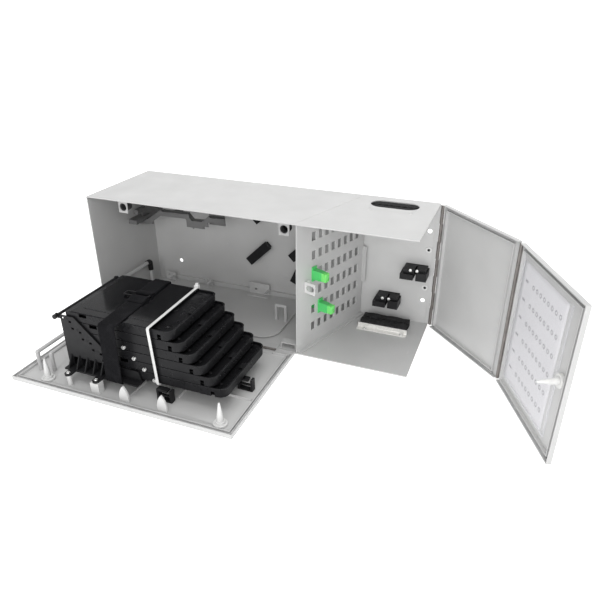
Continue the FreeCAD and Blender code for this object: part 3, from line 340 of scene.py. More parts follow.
LIGHT_GREY = (0.47, 0.47, 0.467)
looks = {
    "case_paint": powder_coat("case_paint", LIGHT_GREY),
    "panel_paint": powder_coat("panel_paint", shade(LIGHT_GREY, 0.98)),
    "bracket_grey": powder_coat("bracket_grey", shade(LIGHT_GREY, 0.85), 0.08),
    "guide_grey": moulded("guide_grey", (0.4, 0.4, 0.4), 0.4),
    "galvanised": zinc_plate("galvanised"),
    "hinge_steel": hinge_leaf("hinge_steel", (0.2, 0.185, 0.175), LIGHT_GREY),
    "screw_steel": steel("screw_steel", (0.72, 0.72, 0.71), 0.28, (0.3, 1, 1)),
    "black_plastic": moulded("black_plastic", (0.012, 0.012, 0.013), 0.42, edge_wear_and_highlight=(0.07, 0.07, 0.072), reach=8,
                             gloss=0.2),
    "tray_black": moulded("tray_black", (0.010, 0.010, 0.011), 0.3, grain=0.7, depth=0.025,
                          edge_wear_and_highlight=(0.1, 0.1, 0.105), reach=14, gloss=0.15),
    "clear_smoke": smoked_cover("clear_smoke"),
    "white_plastic": moulded("white_plastic", (0.58, 0.58, 0.575), 0.35, edge_wear_and_highlight=(0.7, 0.7, 0.69)),
    "clear_nylon": nylon("clear_nylon", (0.6, 0.6, 0.59)),
    "green_plastic": moulded("green_plastic", (0.07, 0.5, 0.13), 0.35, edge_wear_and_highlight=(0.2, 0.65, 0.25)),
    "green_cap": moulded("green_cap", (0.15, 0.62, 0.14), 0.3, edge_wear_and_highlight=(0.35, 0.75, 0.35), Subsurface_Weight=0.2,
                         Subsurface_Scale=2 * MM),
    "black_foam": open_foam("black_foam"),
    "gasket_grey": rubber("gasket_grey", (0.36, 0.36, 0.36)),
    "ring_rubber": rubber("ring_rubber", (0.035, 0.035, 0.036)),
    "guide_steel": powder_coat("guide_steel", (0.11, 0.11, 0.11), 0.1),
    "strap_fabric": hook_and_loop("strap_fabric"),
    "paper": port_chart("paper"),
    "pocket_film": clear_film("pocket_film"),
}


OWN_LOOKS = {"lid_lock_spring_rings": "ring_rubber", "top_cable_guide": "guide_steel"}


def dress_frame():
    """Gives every CAD node its look, and breaks its sharp edges with a small real bevel."""
    for name, node in nodes.items():
        slot = node.data.materials[0].name
        node.data.materials[0] = looks[OWN_LOOKS.get(name, slot)]
        weld = node.modifiers.new("weld", "WELD")
        weld.merge_threshold = 0.002 * MM
        bevel = node.modifiers.new("edge", "BEVEL")
        bevel.width = 0.25 * MM
        bevel.segments = 2
        bevel.limit_method = "ANGLE"
        bevel.angle_limit = math.radians(50)
        bevel.use_clamp_overlap = True
        flat = node.modifiers.new("flat_faces", "WEIGHTED_NORMAL")
        flat.mode = "FACE_AREA"
        flat.weight = 100
        flat.keep_sharp = True


dress_frame()


# ---------------------------------------------------------------- mesh tools

def skin(bm, rings, closed=False, caps=True):
    """Joins rings of points into a tube. It closes on itself, or ends in two flat caps."""
    loops = [[bm.verts.new(point) for point in ring] for ring in rings]
    pairs = list(zip(loops, loops[1:]))
    if closed:
        pairs.append((loops[-1], loops[0]))
    for one, other in pairs:
        for i in range(len(one)):
            j = (i + 1) % len(one)
            bm.faces.new((one[i], one[j], other[j], other[i]))
    if caps and not closed:
        bm.faces.new(list(reversed(loops[0])))
        bm.faces.new(loops[-1])
    return loops


def circle(steps):
    """The angles of points evenly round a circle."""
    return [math.tau * k / steps for k in range(steps)]


def arc(centre_y, centre_z, radius, start, end, steps):
    """Points on an arc in the y-z plane, its angles in degrees from +y towards +z."""
    points = []
    for step in range(steps + 1):
        angle = math.radians(start + (end - start) * step / steps)
        points.append((centre_y + radius * math.cos(angle), centre_z + radius * math.sin(angle)))
    return points


def resample(points, pitch):
    """The same path with points about pitch apart."""
    result = [points[0]]
    for (y0, z0), (y1, z1) in zip(points, points[1:]):
        length = math.hypot(y1 - y0, z1 - z0)
        count = max(1, round(length / pitch))
        result += [(y0 + (y1 - y0) * k / count, z0 + (z1 - z0) * k / count) for k in range(1, count + 1)]
    return result


def stadium(width, height, steps=5, across=2):
    """Outline of a flat band: straight top and bottom in steps across, half-round sides."""
    radius = height / 2
    flat = width / 2 - radius
    points = []
    for step in range(across):
        points.append((-flat + 2 * flat * step / across, -radius))
    points += [(flat + radius * math.cos(a), radius * math.sin(a))
               for a in (math.radians(-90 + 180 * k / steps) for k in range(steps + 1))]
    for step in range(1, across):
        points.append((flat - 2 * flat * step / across, radius))
    points += [(-flat + radius * math.cos(a), radius * math.sin(a))
               for a in (math.radians(90 + 180 * k / steps) for k in range(steps))]
    return points


def place_piece(name, bm, slot, body, *replaced, smooth=35):
    """Makes a finished piece from a bmesh: cleaned, smooth-shaded, with its look, riding on its body."""
    bmesh.ops.remove_doubles(bm, verts=bm.verts, dist=1e-6)
    bmesh.ops.recalc_face_normals(bm, faces=bm.faces)
    mesh = bpy.data.meshes.new(name)
    bm.to_mesh(mesh)
    bm.free()
    mesh.shade_smooth()
    mesh.set_sharp_from_angle(angle=math.radians(smooth))
    mesh.materials.append(looks[slot])
    piece = bpy.data.objects.new(name, mesh)
    bpy.context.scene.collection.objects.link(piece)
    if replaced:
        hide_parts(*replaced)
    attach(piece, body)
    return piece


def solids_of(node):
    """The points of each separate solid of a CAD node."""
    bm = bmesh.new()
    bm.from_mesh(nodes[node].data)
    bmesh.ops.remove_doubles(bm, verts=bm.verts, dist=2e-6)
    left = set(bm.verts)
    groups = []
    while left:
        heap = [left.pop()]
        found = []
        while heap:
            vert = heap.pop()
            found.append(vert.co.copy())
            for edge in vert.link_edges:
                other = edge.other_vert(vert)
                if other in left:
                    left.remove(other)
                    heap.append(other)
        groups.append(found)
    bm.free()
    return sorted(groups, key=lambda group: (round(sum(p.x for p in group) / len(group), 4),
                                             round(sum(p.z for p in group) / len(group), 4)))


def extent(points):
    low = Vector(min(p[axis] for p in points) for axis in range(3))
    high = Vector(max(p[axis] for p in points) for axis in range(3))
    return low, high


# ---------------------------------------------------------------- strap, buckle and tie

strap_low, strap_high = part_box("tray_strap")
stack_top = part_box("tray_cover")[1].z
case_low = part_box("case_shell")[0]


def follow_lean(y, z, low, high, bottom, top_front, top_back):
    """How far a band is pushed along x at a place on its loop."""
    up = (z - low.z) / (high.z - low.z)
    back = (y - low.y) / (high.y - low.y)
    return bottom + (top_front + (top_back - top_front) * back - bottom) * up


def band_rings(path, profile, centre_x, lean, closed, ripple=0.0):
    """Rings of a band swept along a y-z path. Ripple roughens its faces."""
    rings = []
    count = len(path)
    for i, (y, z) in enumerate(path):
        before = path[(i - 1) % count] if closed or i else path[i]
        after = path[(i + 1) % count] if closed or i < count - 1 else path[i]
        along = Vector((0, after[0] - before[0], after[1] - before[1])).normalized()
        out = Vector((0, along.z, -along.y))
        ring = []
        for across, thick in profile:
            point = Vector((centre_x + across + lean(y, z), y, z)) + out * thick
            if ripple:
                rough = noise.noise(point / (1.1 * MM)) * ripple
                rough += math.sin(across / (0.95 * MM) * math.pi) * ripple * 0.7
                point += out * math.copysign(rough, thick) * (abs(thick) > 0.3 * MM)
            ring.append(point)
        rings.append(ring)
    return rings


def rounded(points, radius):
    """A 2D path with each inner corner turned into a soft curve."""
    path = [points[0]]
    for before, corner, after in zip(points, points[1:], points[2:]):
        here = Vector(corner)
        back, ahead = Vector(before) - here, Vector(after) - here
        start = here + back.normalized() * min(radius, back.length / 2)
        end = here + ahead.normalized() * min(radius, ahead.length / 2)
        for step in range(7):
            t = step / 6
            path.append(tuple(start * (1 - t) ** 2 + here * 2 * t * (1 - t) + end * t ** 2))
    path.append(points[-1])
    return path


STRAP_SHEET = 1.3 * MM
STRAP_RIPPLE = 0.07 * MM


def build_strap():
    """The hook-and-loop strap runs round the stack, through the buckle, and back over itself."""
    low, back = strap_low.z + STRAP_SHEET / 2, strap_high.y - STRAP_SHEET / 2
    first = stack_top + 0.1 * MM + STRAP_SHEET / 2
    apron = strap_low.y + STRAP_SHEET / 2
    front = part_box("tray_stand")[0].y + 9.5 * MM
    wrap = 1.8 * MM
    second = first + STRAP_SHEET + 0.1 * MM
    rear_bar, front_bar = bar_places()
    over = second + 1.2 * MM
    path = [(rear_bar + 40 * MM, second), (rear_bar + 9 * MM, second), (rear_bar + 4 * MM, over)]
    path += arc(rear_bar, first + wrap, wrap, 90, 270, 10)
    path += rounded([(rear_bar + 3 * MM, first), (back, first), (back, low), (apron, low), (front, first),
                     (front_bar - 3 * MM, first)], 4 * MM)
    path += arc(front_bar, first + wrap, wrap, -90, 90, 10)
    path += [(front_bar - 4 * MM, over), (front_bar - 9 * MM, second), (front_bar - 15 * MM, second)]

    def lean(y, z):
        return follow_lean(y, min(z, first), strap_low, strap_high, 1.5 * MM, 5 * MM, -3.5 * MM)

    centre = (strap_low.x + strap_high.x) / 2
    bm = bmesh.new()
    skin(bm, band_rings(resample(path, 1.1 * MM), stadium(25 * MM, STRAP_SHEET, 4, 26), centre, lean, False,
                        STRAP_RIPPLE))
    return place_piece("hook_and_loop_strap", bm, "strap_fabric", "lid", "tray_strap", smooth=60)


def bar_places():
    """The y of the buckle's rear and front bars."""
    low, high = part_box("strap_buckle")
    return high.y - 2.4 * MM, low.y + 2.4 * MM


def build_buckle():
    """A moulded ring: a rounded rectangle of bar."""
    low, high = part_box("strap_buckle")
    rear_bar, front_bar = bar_places()
    middle_y, height = (rear_bar + front_bar) / 2, stack_top + 0.1 * MM + STRAP_SHEET + 1.15 * MM
    half_x, half_y, corner = (high.x - low.x) / 2 - 2.5 * MM, (rear_bar - front_bar) / 2, 2.6 * MM
    centre = (low.x + high.x) / 2 - 3 * MM
    outline = []
    for sign_x, sign_y, start in ((1, 1, 0), (-1, 1, 90), (-1, -1, 180), (1, -1, 270)):
        for step in range(7):
            angle = math.radians(start + 15 * step)
            outline.append(Vector((centre + sign_x * (half_x - corner) + corner * math.cos(angle),
                                   middle_y + sign_y * (half_y - corner) + corner * math.sin(angle), height)))
    rings = []
    count = len(outline)
    for i, point in enumerate(outline):
        along = (outline[(i + 1) % count] - outline[i - 1]).normalized()
        side = Vector((along.y, -along.x, 0))
        rings.append([point + side * x + Vector((0, 0, z)) for x, z in stadium(2.6 * MM, 2.1 * MM, 6, 2)])
    bm = bmesh.new()
    skin(bm, rings, closed=True)
    return place_piece("strap_buckle_ring", bm, "black_plastic", "lid", "strap_buckle", smooth=60)


def build_tie():
    """The white cable tie with its ratchet head and cut tail."""
    low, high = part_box("cable_tie")
    sheet = 1.2 * MM
    front, back = low.y + sheet / 2, high.y - sheet / 2
    bottom, top = low.z + sheet / 2, stack_top + 0.1 * MM + sheet / 2
    turn = 2.2 * MM
    path = arc(back - turn, top - turn, turn, 90, 0, 5)
    path += arc(back - turn, bottom + turn, turn, 0, -90, 5)
    path += arc(front + turn, bottom + turn, turn, 270, 180, 5)
    path += arc(front + turn, top - turn, turn, 180, 90, 5)

    def lean(y, z):
        return follow_lean(y, z, low, high, 4.5 * MM, -0.5 * MM, -3 * MM)

    centre = (low.x + high.x) / 2
    bm = bmesh.new()
    path.append(path[0])
    path = resample(path, 2.5 * MM)[:-1]
    skin(bm, band_rings(path, stadium(4.2 * MM, sheet, 4, 2), centre, lean, True), closed=True)
    head_y = back - 4 * MM
    add_tie_head(bm, Vector((centre + lean(head_y, top), head_y, top + 1.6 * MM)))
    return place_piece("cable_tie_band", bm, "white_plastic", "lid", "cable_tie", smooth=50)


def add_tie_head(bm, centre):
    """A chamfered box, and the stub of the tail standing out."""
    rings = []
    for z, grow in ((-2.4, 0.6), (-1.8, 1.0), (1.4, 1.0), (2.2, 0.75)):
        half = 3.2 * MM * grow
        rings.append([centre + Vector((x * half, y * half * 0.85, z * MM))
                      for x, y in ((-1, -1), (1, -1), (1, 1), (-1, 1))])
    skin(bm, rings)
    stub = [[centre + Vector((x * 2.2 * MM, y * 0.6 * MM + lift * 1.0 * MM, (1.4 + 3.2 * lift) * MM))
             for x, y in ((-1, -1), (1, -1), (1, 1), (-1, 1))] for lift in (0, 1)]
    skin(bm, stub)


strap = build_strap()
buckle = build_buckle()
tie = build_tie()
for soft, node in ((strap, "tray_strap"), (buckle, "tray_strap"), (tie, "cable_tie")):
    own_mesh(soft)


# ---------------------------------------------------------------- pieces in the pans: gaskets, label, film

class Panel:
    """The frame of a flat part: x and y along it, height out of it."""

    def __init__(self, origin, along, up, out):
        self.origin, self.along, self.up, self.out = Vector(origin), Vector(along), Vector(up), Vector(out)

    def at(self, x, y, height):
        return self.origin + self.along * x + self.up * y + self.out * height

    def box(self, node):
        """The lowest and highest x, y and height of a CAD node in this frame."""
        spots = [vert.co - self.origin for vert in nodes[node].data.vertices]
        places = [Vector((spot.dot(self.along), spot.dot(self.up), spot.dot(self.out))) for spot in spots]
        return extent(places)


UP = Vector((0, 0, 1))


def ground(point):
    return Vector((point[0], point[1], case_low.z))


fold_line, side_line = (ground(joints[name]["pos_m"]) for name in ("front_door_fold", "side_panel_hinge"))
inward = Vector(joints["door_post_turn"]["axis"])
door = Panel(fold_line, UP.cross(inward), UP, inward)
leaf_run = (fold_line - side_line).normalized()
side = Panel(side_line, leaf_run, UP, leaf_run.cross(UP))
lid = Panel(case_low, (1, 0, 0), (0, 1, 0), (0, 0, 1))


def sweep(bm, panel, path, section, height, closed=False):
    """Sweeps a section (across, up) along a path of x, y points in a panel, with mitred corners."""
    rings = []
    count = len(path)
    for i in range(count):
        here = Vector(path[i])
        before = Vector(path[i - 1]) if closed or i else None
        after = Vector(path[(i + 1) % count]) if closed or i < count - 1 else None
        runs = [here - before] if before else []
        runs += [after - here] if after else []
        ways = [run.normalized() for run in runs if run.length > 0]
        along = sum(ways, Vector((0, 0))).normalized()
        stretch = 1 / max(0.35, along.dot(ways[0]))
        across = Vector((along.y, -along.x)) * stretch
        rings.append([panel.at(here.x + across.x * side, here.y + across.y * side, height + up)
                      for side, up in section])
    skin(bm, rings, closed=closed)


def dome(width, tall, steps=8):
    """A flat-bottomed section with a round top, as foamed-in gasket sets."""
    points = [(-width / 2, 0), (width / 2, 0)]
    points += [(width / 2 * math.cos(a), tall * (0.35 + 0.65 * math.sin(a)))
               for a in (math.pi * k / steps for k in range(steps + 1))]
    return points


GASKET_RISE = 0.95


def build_gasket(name, node, panel, body, free_end):
    """A foamed strip along the low and the high edge of a pan, and round its free end if it has one."""
    low, high = panel.box(node)
    width = 2.2 * MM
    inset = width / 2
    left, right = low.x, high.x - inset * free_end
    bottom, top = low.y + inset, high.y - inset
    section = dome(width, (high.z - low.z) * GASKET_RISE)
    bm = bmesh.new()
    if free_end:
        route = rounded([(left, bottom), (right, bottom), (right, top), (left, top)], 3 * MM)
        sweep(bm, panel, resample(route, 4 * MM), section, low.z)
    else:
        for y in (bottom, top):
            sweep(bm, panel, resample([(left, y), (right, y)], 4 * MM), section, low.z)
    return place_piece(name, bm, "gasket_grey", body, node, smooth=50)


def build_lid_gasket():
    low, high = lid.box("lid_gasket")
    width = 3.2 * MM
    inset = 2 * MM
    route = rounded([(low.x + inset, high.y), (low.x + inset, low.y + inset), (high.x - inset, low.y + inset),
                     (high.x - inset, high.y)], 4 * MM)
    bm = bmesh.new()
    sweep(bm, lid, resample(route, 4 * MM), dome(width, (high.z - low.z) * GASKET_RISE), low.z)
    return place_piece("lid_foamed_gasket", bm, "gasket_grey", "lid", "lid_gasket", smooth=50)


build_lid_gasket()
build_gasket("side_panel_foamed_gasket", "side_panel_gasket", side, "side_panel", False)
build_gasket("front_door_foamed_gasket", "front_door_gasket", door, "front_door", True)


def sheet_grid(bm, panel, low, high, columns, rows, height):
    """A grid of faces over a rectangle with a UV map. height(u, v) lifts each point."""
    layer = bm.loops.layers.uv.new("UVMap")
    verts = {}
    for i in range(columns + 1):
        for j in range(rows + 1):
            u, v = i / columns, j / rows
            verts[i, j] = bm.verts.new(panel.at(low.x + (high.x - low.x) * u, low.y + (high.y - low.y) * v,
                                                height(u, v)))
    for i in range(columns):
        for j in range(rows):
            corners = ((i, j), (i + 1, j), (i + 1, j + 1), (i, j + 1))
            face = bm.faces.new([verts[corner] for corner in corners])
            for loop, (a, b) in zip(face.loops, corners):
                loop[layer].uv = (a / columns, b / rows)


def thicken(piece, thickness, offset=-1.0):
    solid = piece.modifiers.new("sheet", "SOLIDIFY")
    solid.thickness = thickness
    solid.offset = offset


def build_label():
    """The record sheet, very slightly wavy, and the clear pocket in front of it with its welded hems."""
    low, high = door.box("label_sheet")
    bm = bmesh.new()
    sheet_grid(bm, door, low, high, 16, 24,
               lambda u, v: low.z + 0.1 * MM + 0.15 * MM * noise.noise(Vector((u * 2.5, v * 3.5, 3))))
    thicken(place_piece("port_chart_sheet", bm, "paper", "front_door", "label_sheet"), 0.12 * MM)
    low, high = door.box("label_pocket")
    bm = bmesh.new()
    sheet_grid(bm, door, low, high, 20, 28,
               lambda u, v: high.z - 0.45 * MM + 0.3 * MM * math.sin(math.pi * v)
               * noise.noise(Vector((u * 2, v * 2.4, 8))))
    hem = [(-1.6 * MM, 0), (1.6 * MM, 0), (1.4 * MM, 0.3 * MM), (-1.4 * MM, 0.3 * MM)]
    inset = 1.7 * MM
    route = [(low.x + inset, high.y), (low.x + inset, low.y + inset), (high.x - inset, low.y + inset),
             (high.x - inset, high.y)]
    sweep(bm, door, resample(rounded(route, 2 * MM), 3 * MM), hem, high.z - 0.55 * MM)
    place_piece("label_film_pocket", bm, "pocket_film", "front_door", "label_pocket")


build_label()


# ---------------------------------------------------------------- small parts: foam, screws, caps, tube ends

def soft_rectangle(half_x, half_y, corner, steps=3):
    points = []
    for sign_x, sign_y, start in ((1, 1, 0), (-1, 1, 90), (-1, -1, 180), (1, -1, 270)):
        for step in range(steps + 1):
            angle = math.radians(start + 90 * step / steps)
            points.append((sign_x * (half_x - corner) + corner * math.cos(angle),
                           sign_y * (half_y - corner) + corner * math.sin(angle)))
    return points


def build_foams():
    """Each entry holds two foam halves whose facing edges are cut in waves, so that they grip cables."""
    bm = bmesh.new()
    halves = sorted((extent(group) for group in solids_of("cable_entry_foams")), key=lambda pair: pair[0].y)
    middle = (halves[0][0].y + halves[-1][1].y) / 2
    for low, high in halves:
        inner, outer, way = (high.y, low.y, 1) if high.y < middle else (low.y, high.y, -1)
        count = 64
        rings = []
        for i in range(count + 1):
            x = low.x + (high.x - low.x) * i / count
            wave = 1.7 * MM * (0.5 + 0.5 * math.sin((x - low.x) / (9 * MM) * math.tau))
            edge = inner + way * (wave + 0.6 * MM)
            swell = 1.4 * MM + 1.3 * MM * math.sin((x - low.x) / (31 * MM) * math.tau + outer / (9 * MM))
            swell += 0.4 * MM * noise.noise(Vector((x / (5 * MM), outer / MM, low.z / MM)))
            open_up = low.z < 0
            ring = []
            for share, bulge in ((0, 0.4), (0.25, 1), (0.5, 1.15), (0.8, 0.9), (1, 0.3)):
                ring.append(Vector((x, outer + (edge - outer) * share, high.z + open_up * bulge * swell)))
            for share, bulge in ((1, 0.3), (0.5, 1.15), (0, 0.4)):
                ring.append(Vector((x, outer + (edge - outer) * share,
                                    low.z - (not open_up) * bulge * swell)))
            rings.append(ring)
        skin(bm, rings)
    return place_piece("slotted_entry_foams", bm, "black_foam", "case", "cable_entry_foams", smooth=50)


def add_screw(bm, centre, out, radius, height, reach):
    """A pan head with a cross recess on a threaded shank. centre is where the head sits."""
    out = out.normalized()
    along = out.orthogonal().normalized()
    across = out.cross(along)
    segments = 32

    def ring(r, lift, cross=0.0):
        points = []
        for k in range(segments):
            a = math.tau * k / segments
            u, v = r * math.cos(a), r * math.sin(a)
            deep = 0
            if min(abs(u), abs(v)) < radius * 0.16 and max(abs(u), abs(v)) < radius * 0.62:
                deep = cross
            points.append(centre + along * u + across * v + out * (lift - deep))
        return points

    rings = [ring(radius * 0.96, 0), ring(radius, height * 0.15), ring(radius, height * 0.45),
             ring(radius * 0.9, height * 0.78)]
    for share in (0.78, 0.7, 0.6, 0.5, 0.4, 0.3, 0.22, 0.14, 0.05):
        rings.append(ring(radius * share, height * (1 - 0.2 * share * share), height * 0.5))
    skin(bm, rings)
    thread = []
    turns = max(6, int(reach / (0.45 * MM)))
    for k in range(turns):
        r = radius * (0.5 if k % 2 else 0.43)
        sunk = centre - out * (reach * k / (turns - 1))
        thread.append([sunk + along * (r * math.cos(a)) + across * (r * math.sin(a)) for a in circle(12)])
    skin(bm, thread)


def build_screws(name, node, body, out):
    """One screw for each CAD screw. out(low, high) tells which way its head points."""
    bm = bmesh.new()
    for group in solids_of(node):
        low, high = extent(group)
        way = out(low, high)
        axis = next(i for i in range(3) if abs(way[i]) > 0.5)
        centre = (low + high) / 2
        sizes = [high[i] - low[i] for i in range(3) if i != axis]
        radius = max(sizes) / 2
        head = 1.7 * MM
        centre[axis] = high[axis] - head if way[axis] > 0 else low[axis] + head
        add_screw(bm, centre, way, radius, head, (high[axis] - low[axis]) - head)
    return place_piece(name, bm, "screw_steel", body, node, smooth=40)


def build_wall_screws():
    """Small black screws sunk in the bushes of the back wall."""
    bm = bmesh.new()
    for group in solids_of("wall_screw_bushes"):
        low, high = extent(group)
        centre = (low + high) / 2
        centre.y = low.y + 0.2 * MM
        add_screw(bm, centre, Vector((0, -1, 0)), 2 * MM, 0.9 * MM, 1.6 * MM)
    return place_piece("wall_bush_screws", bm, "black_plastic", "case", smooth=40)


def build_spring_caps():
    """Domed caps on the back of the spring rings, beyond the reach of the lid's posts."""
    bm = bmesh.new()
    section = [(0.3, 0), (7.3, 0), (7.3, 1.6), (6.2, 3.2), (3.5, 4.2), (0.3, 4.5)]
    for group in solids_of("lid_lock_spring_rings"):
        low, high = extent(group)
        centre = (low + high) / 2
        skin(bm, [[Vector((centre.x + r * MM * math.cos(a), high.y + (0.05 + lift) * MM,
                           centre.z + r * MM * math.sin(a))) for r, lift in section]
                  for a in circle(32)], closed=True)
    return place_piece("lock_spring_caps", bm, "black_plastic", "case", smooth=40)


def build_tube_end(level):
    """A split tube holder on a tray's front wall."""
    low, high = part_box(f"tube_end_{level}")
    centre = (low + high) / 2
    rings = []
    for k in range(15):
        angle = math.radians(120 + 300 * k / 14)
        way = Vector((math.cos(angle), 0, math.sin(angle)))
        rings.append([Vector((centre.x, y, centre.z)) + way * radius
                      for radius, y in ((2.5 * MM, high.y), (2.5 * MM, low.y), (1.5 * MM, low.y - 0.4 * MM),
                                        (1.3 * MM, high.y))])
    bm = bmesh.new()
    skin(bm, rings)
    return place_piece(f"split_tube_holder_{level}", bm, "white_plastic", f"tray_{level}",
                       f"tube_end_{level}")


def divider_turn():
    """The turn from a frame whose x runs along the divider's longest flat edge to the world."""
    mesh = nodes["adapter_panel"].data
    runs = [mesh.vertices[edge.vertices[1]].co - mesh.vertices[edge.vertices[0]].co for edge in mesh.edges]
    longest = max((run for run in runs if abs(run.z) < 0.1 * MM), key=lambda run: run.length)
    if longest.y < 0:
        longest = -longest
    return Matrix.Rotation(math.atan2(longest.y, longest.x), 3, "Z")


# How thick a dust cap is, as a share of its grip, from the grip's end to the plug's tip.
CAP_PROFILE = [(0, 0.9), (0.03, 1), (0.12, 1), (0.14, 0.93), (0.2, 0.93), (0.22, 1), (0.3, 1), (0.32, 0.93),
               (0.38, 0.93), (0.4, 1), (0.46, 1), (0.47, 0.76), (0.97, 0.72), (1, 0.66)]


def build_caps():
    """Soft dust caps: a tapered plug with a thicker ribbed grip."""
    bm = bmesh.new()
    turn = divider_turn()
    back = turn.inverted()
    panel_low, panel_high = extent([back @ vert.co for vert in nodes["adapter_panel"].data.vertices])
    for group in solids_of("adapter_dust_caps"):
        flat = [back @ point for point in group]
        low, high = extent(flat)
        front = low.y < (panel_low.y + panel_high.y) / 2
        centre = (low + high) / 2
        half_x, half_z = (high.x - low.x) / 2, (high.z - low.z) / 2
        grip, plug = (low.y, high.y) if front else (high.y, low.y)
        rings = []
        for share, size in CAP_PROFILE:
            y = grip + (plug - grip) * share
            rings.append([turn @ Vector((centre.x + x, y, centre.z + z))
                          for x, z in soft_rectangle(half_x * size, half_z * size, 1.2 * MM * size)])
        skin(bm, rings)
    return place_piece("ribbed_dust_caps", bm, "green_cap", "case", "adapter_dust_caps", smooth=50)


def build_guide_sleeve():
    """A rubber sleeve over the rear elbow of the guide bar that stands on the left of the floor."""
    low, high = extent(solids_of("floor_guide_bars")[0])
    top, back = high.z - 3.4 * MM, high.y - 3.4 * MM
    path = rounded([(back - 9 * MM, top), (back, top), (back, top - 16 * MM)], 4 * MM)
    sleeve = [(4.4 * MM * math.cos(a), 4.4 * MM * math.sin(a)) for a in circle(16)]
    bm = bmesh.new()
    skin(bm, band_rings(resample(path, 1 * MM), sleeve, (low.x + high.x) / 2, lambda y, z: 0, False,
                        0.03 * MM))
    return place_piece("guide_bar_sleeve", bm, "black_plastic", "case", smooth=60)


build_guide_sleeve()
build_foams()
build_screws("patch_clip_cross_screws", "patch_clip_screws", "case", lambda low, high: Vector((0, -1, 0)))
build_screws("entry_plate_cross_screws", "cable_entry_screws", "case",
             lambda low, high: Vector((0, 0, -1 if low.z > 0 else 1)))
build_screws("stand_cross_screws", "stand_screws", "lid", lambda low, high: Vector((0, 0, 1)))
build_wall_screws()
build_spring_caps()
for tube_level in range(1, TUBE_ENDS + 1):
    build_tube_end(tube_level)
build_caps()


# ---------------------------------------------------------------- trays: rolled rim, tabs and splice holder

def add_inner_plate(bm, left, right, front, back, top):
    """The flap over a tray's fibre area: a thin plate with a sunken middle, round bosses and two ribs."""
    rings = []
    for inset, depth in ((0, 1.1), (0, 0.2), (0.25, 0), (3.2, 0), (3.8, 0.5)):
        inset *= MM
        corner = max(1 * MM, 9 * MM - inset)
        outline = rounded([(left + inset, back - inset), (left + inset, front + inset),
                           (right - inset, front + inset), (right - inset, back - inset),
                           (left + inset, back - inset)], corner)[:-1]
        rings.append([Vector((x, y, top - depth * MM)) for x, y in outline])
    skin(bm, rings)
    middle = (front + back) / 2
    for x, y, radius in ((right - 12 * MM, front + 14 * MM, 2.6), (right - 12 * MM, back - 14 * MM, 2.6),
                         (right - 30 * MM, middle, 6)):
        skin(bm, [[Vector((x + r * MM * math.cos(a), y + r * MM * math.sin(a), top + lift * MM))
                   for a in circle(20)]
                  for r, lift in ((radius, -0.7), (radius, 0.1), (radius - 0.4, 0.4), (radius - 1.4, 0.4),
                                  (radius - 1.6, 0))])
    ridge = [(-0.5, -0.6), (0.5, -0.6), (0.3, 0.5), (-0.3, 0.5)]
    for y in (front + 7 * MM, back - 7 * MM):
        skin(bm, [[Vector((x, y + a * MM, top + b * MM)) for a, b in ridge]
                  for x in (right - 70 * MM, right - 45 * MM, right - 18 * MM)])


def build_tray_fittings(level):
    """A rounded bead on the tray's rim, fibre tabs under it, and a ribbed splice holder on its floor."""
    low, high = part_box(f"splice_tray_{level}")
    wall, barrel, trunnion = 1.8 * MM, 3 * MM, 2.3 * MM
    front, back = low.y + trunnion, high.y - trunnion
    pivot_x = low.x + barrel
    left, right, top = pivot_x + 3 * MM, high.x, high.z
    tray = Panel((0, 0, 0), (1, 0, 0), (0, 1, 0), (0, 0, 1))
    inset = wall / 2
    route = rounded([(left, front + inset), (right - inset, front + inset), (right - inset, back - inset),
                     (left, back - inset)], 11 * MM)
    bead = [(0.95 * MM * math.cos(a), 0.5 * MM * math.sin(a)) for a in circle(8)]
    bm = bmesh.new()
    sweep(bm, tray, resample(route, 3 * MM), bead, top + 0.1 * MM)
    tabs = [(left + 40 * MM, front, 1), (left + 95 * MM, front, 1), (left + 40 * MM, back, -1),
            (left + 95 * MM, back, -1)]
    for x, y, way in tabs:
        rings = []
        for reach, half in ((1.2, 7), (4, 6.5), (7, 5), (8, 3)):
            rings.append([Vector((x + a * half * MM, y + way * reach * MM, top - b * MM))
                          for a, b in ((-1, 1.3), (1, 1.3), (1, 0.4), (-1, 0.4))])
        skin(bm, rings)
    add_inner_plate(bm, pivot_x + 60 * MM, right - wall - 0.4 * MM, front + wall + 0.4 * MM,
                    back - wall - 0.4 * MM, top - 2.4 * MM)
    floor = low.z + (1.6 + 0.8) * MM
    middle = (front + back) / 2
    tooth = [(-0.6, 0), (0.6, 0), (0.4, 1), (-0.4, 1)]
    for rib in range(9):
        y = middle + (rib - 4) * 4 * MM
        rings = []
        for share in range(7):
            x = pivot_x + (66 + 26 * share / 6) * MM
            tall = (3.6 if share % 2 else 2.6) * MM
            rings.append([Vector((x, y + a * MM, floor + b * tall)) for a, b in tooth])
        skin(bm, rings)
    return place_piece(f"tray_{level}_rim_and_holder", bm, "tray_black", f"tray_{level}", smooth=50)


for tray_level in range(1, TRAYS + 1):
    build_tray_fittings(tray_level)


# ---------------------------------------------------------------- stage, camera and light

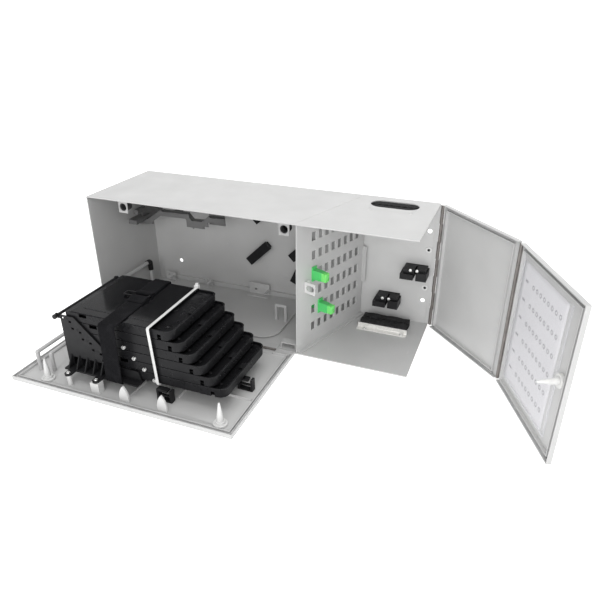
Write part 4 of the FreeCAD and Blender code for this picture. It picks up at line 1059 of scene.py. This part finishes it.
def build_stage():
    """A pale floor under the box that rises behind it."""
    bm = bmesh.new()
    floor_z = cad_low.z - 0.4 * MM
    width, near, far = 6.0, -4.0, 2.5
    curve = [(near, floor_z), (far, floor_z)]
    curve += [(far + 1.2 * math.sin(a), floor_z + 1.2 * (1 - math.cos(a)))
              for a in (math.radians(9 * k) for k in range(1, 11))]
    curve.append((far + 1.2, floor_z + 4))
    rows = [[bm.verts.new((x, y, z)) for x in (-width, width)] for y, z in curve]
    for one, other in zip(rows, rows[1:]):
        bm.faces.new((one[0], one[1], other[1], other[0]))
    mesh = bpy.data.meshes.new("floor")
    bm.to_mesh(mesh)
    bm.free()
    mesh.shade_smooth()
    look = Surface("floor")
    tone = look.mix(look.cloud(400), (0.9, 0.9, 0.9), (0.93, 0.93, 0.93))
    mesh.materials.append(look.finish(Base_Color=tone, Roughness=0.8, Emission_Color=(1, 1, 1),
                                      Emission_Strength=0.45))
    floor = bpy.data.objects.new("floor", mesh)
    bpy.context.scene.collection.objects.link(floor)


CAMERA_FROM_CORNER = Vector((605.1, -667.9, 458.8)) * MM
CAMERA_LENS, CAMERA_SENSOR = 34.86, 36


def add_light(name, place, target, size, power):
    """A soft square light that looks at a target."""
    lamp = bpy.data.lights.new(name, "AREA")
    lamp.energy = power
    lamp.size = size
    light = bpy.data.objects.new(name, lamp)
    light.location = place
    light.rotation_euler = (Vector(target) - Vector(place)).to_track_quat("-Z", "Y").to_euler()
    bpy.context.scene.collection.objects.link(light)


def build_world():
    world = bpy.data.worlds.new("studio")
    world.use_nodes = True
    backdrop = world.node_tree.nodes["Background"]
    backdrop.inputs["Color"].default_value = (1, 1, 1, 1)
    backdrop.inputs["Strength"].default_value = 0.55
    bpy.context.scene.world = world


def build_camera():
    """The camera stands in front of the box, to its right and above, and looks down at the middle of it."""
    azimuth, elevation = math.radians(21.4), math.radians(27.19)
    away = Vector((math.sin(azimuth) * math.cos(elevation), -math.cos(azimuth) * math.cos(elevation),
                   math.sin(elevation)))
    lens = bpy.data.cameras.new("camera")
    lens.sensor_width = CAMERA_SENSOR
    lens.lens = CAMERA_LENS
    camera = bpy.data.objects.new("camera", lens)
    camera.location = case_low + CAMERA_FROM_CORNER
    camera.rotation_euler = (-away).to_track_quat("-Z", "Y").to_euler()
    bpy.context.scene.collection.objects.link(camera)
    bpy.context.scene.camera = camera


build_stage()
build_world()
build_camera()
add_light("top_softbox", (0.1, -0.1, 1.6), (0.1, -0.2, 0), 1.6, 19)
add_light("key_softbox", (0.9, -1.6, 1.1), (0.1, -0.2, 0), 1.4, 12)
add_light("fill_softbox", (0.3, -2.0, 0.4), (-0.15, 0, 0), 1.2, 16)
bpy.context.scene.view_settings.view_transform = "Standard"
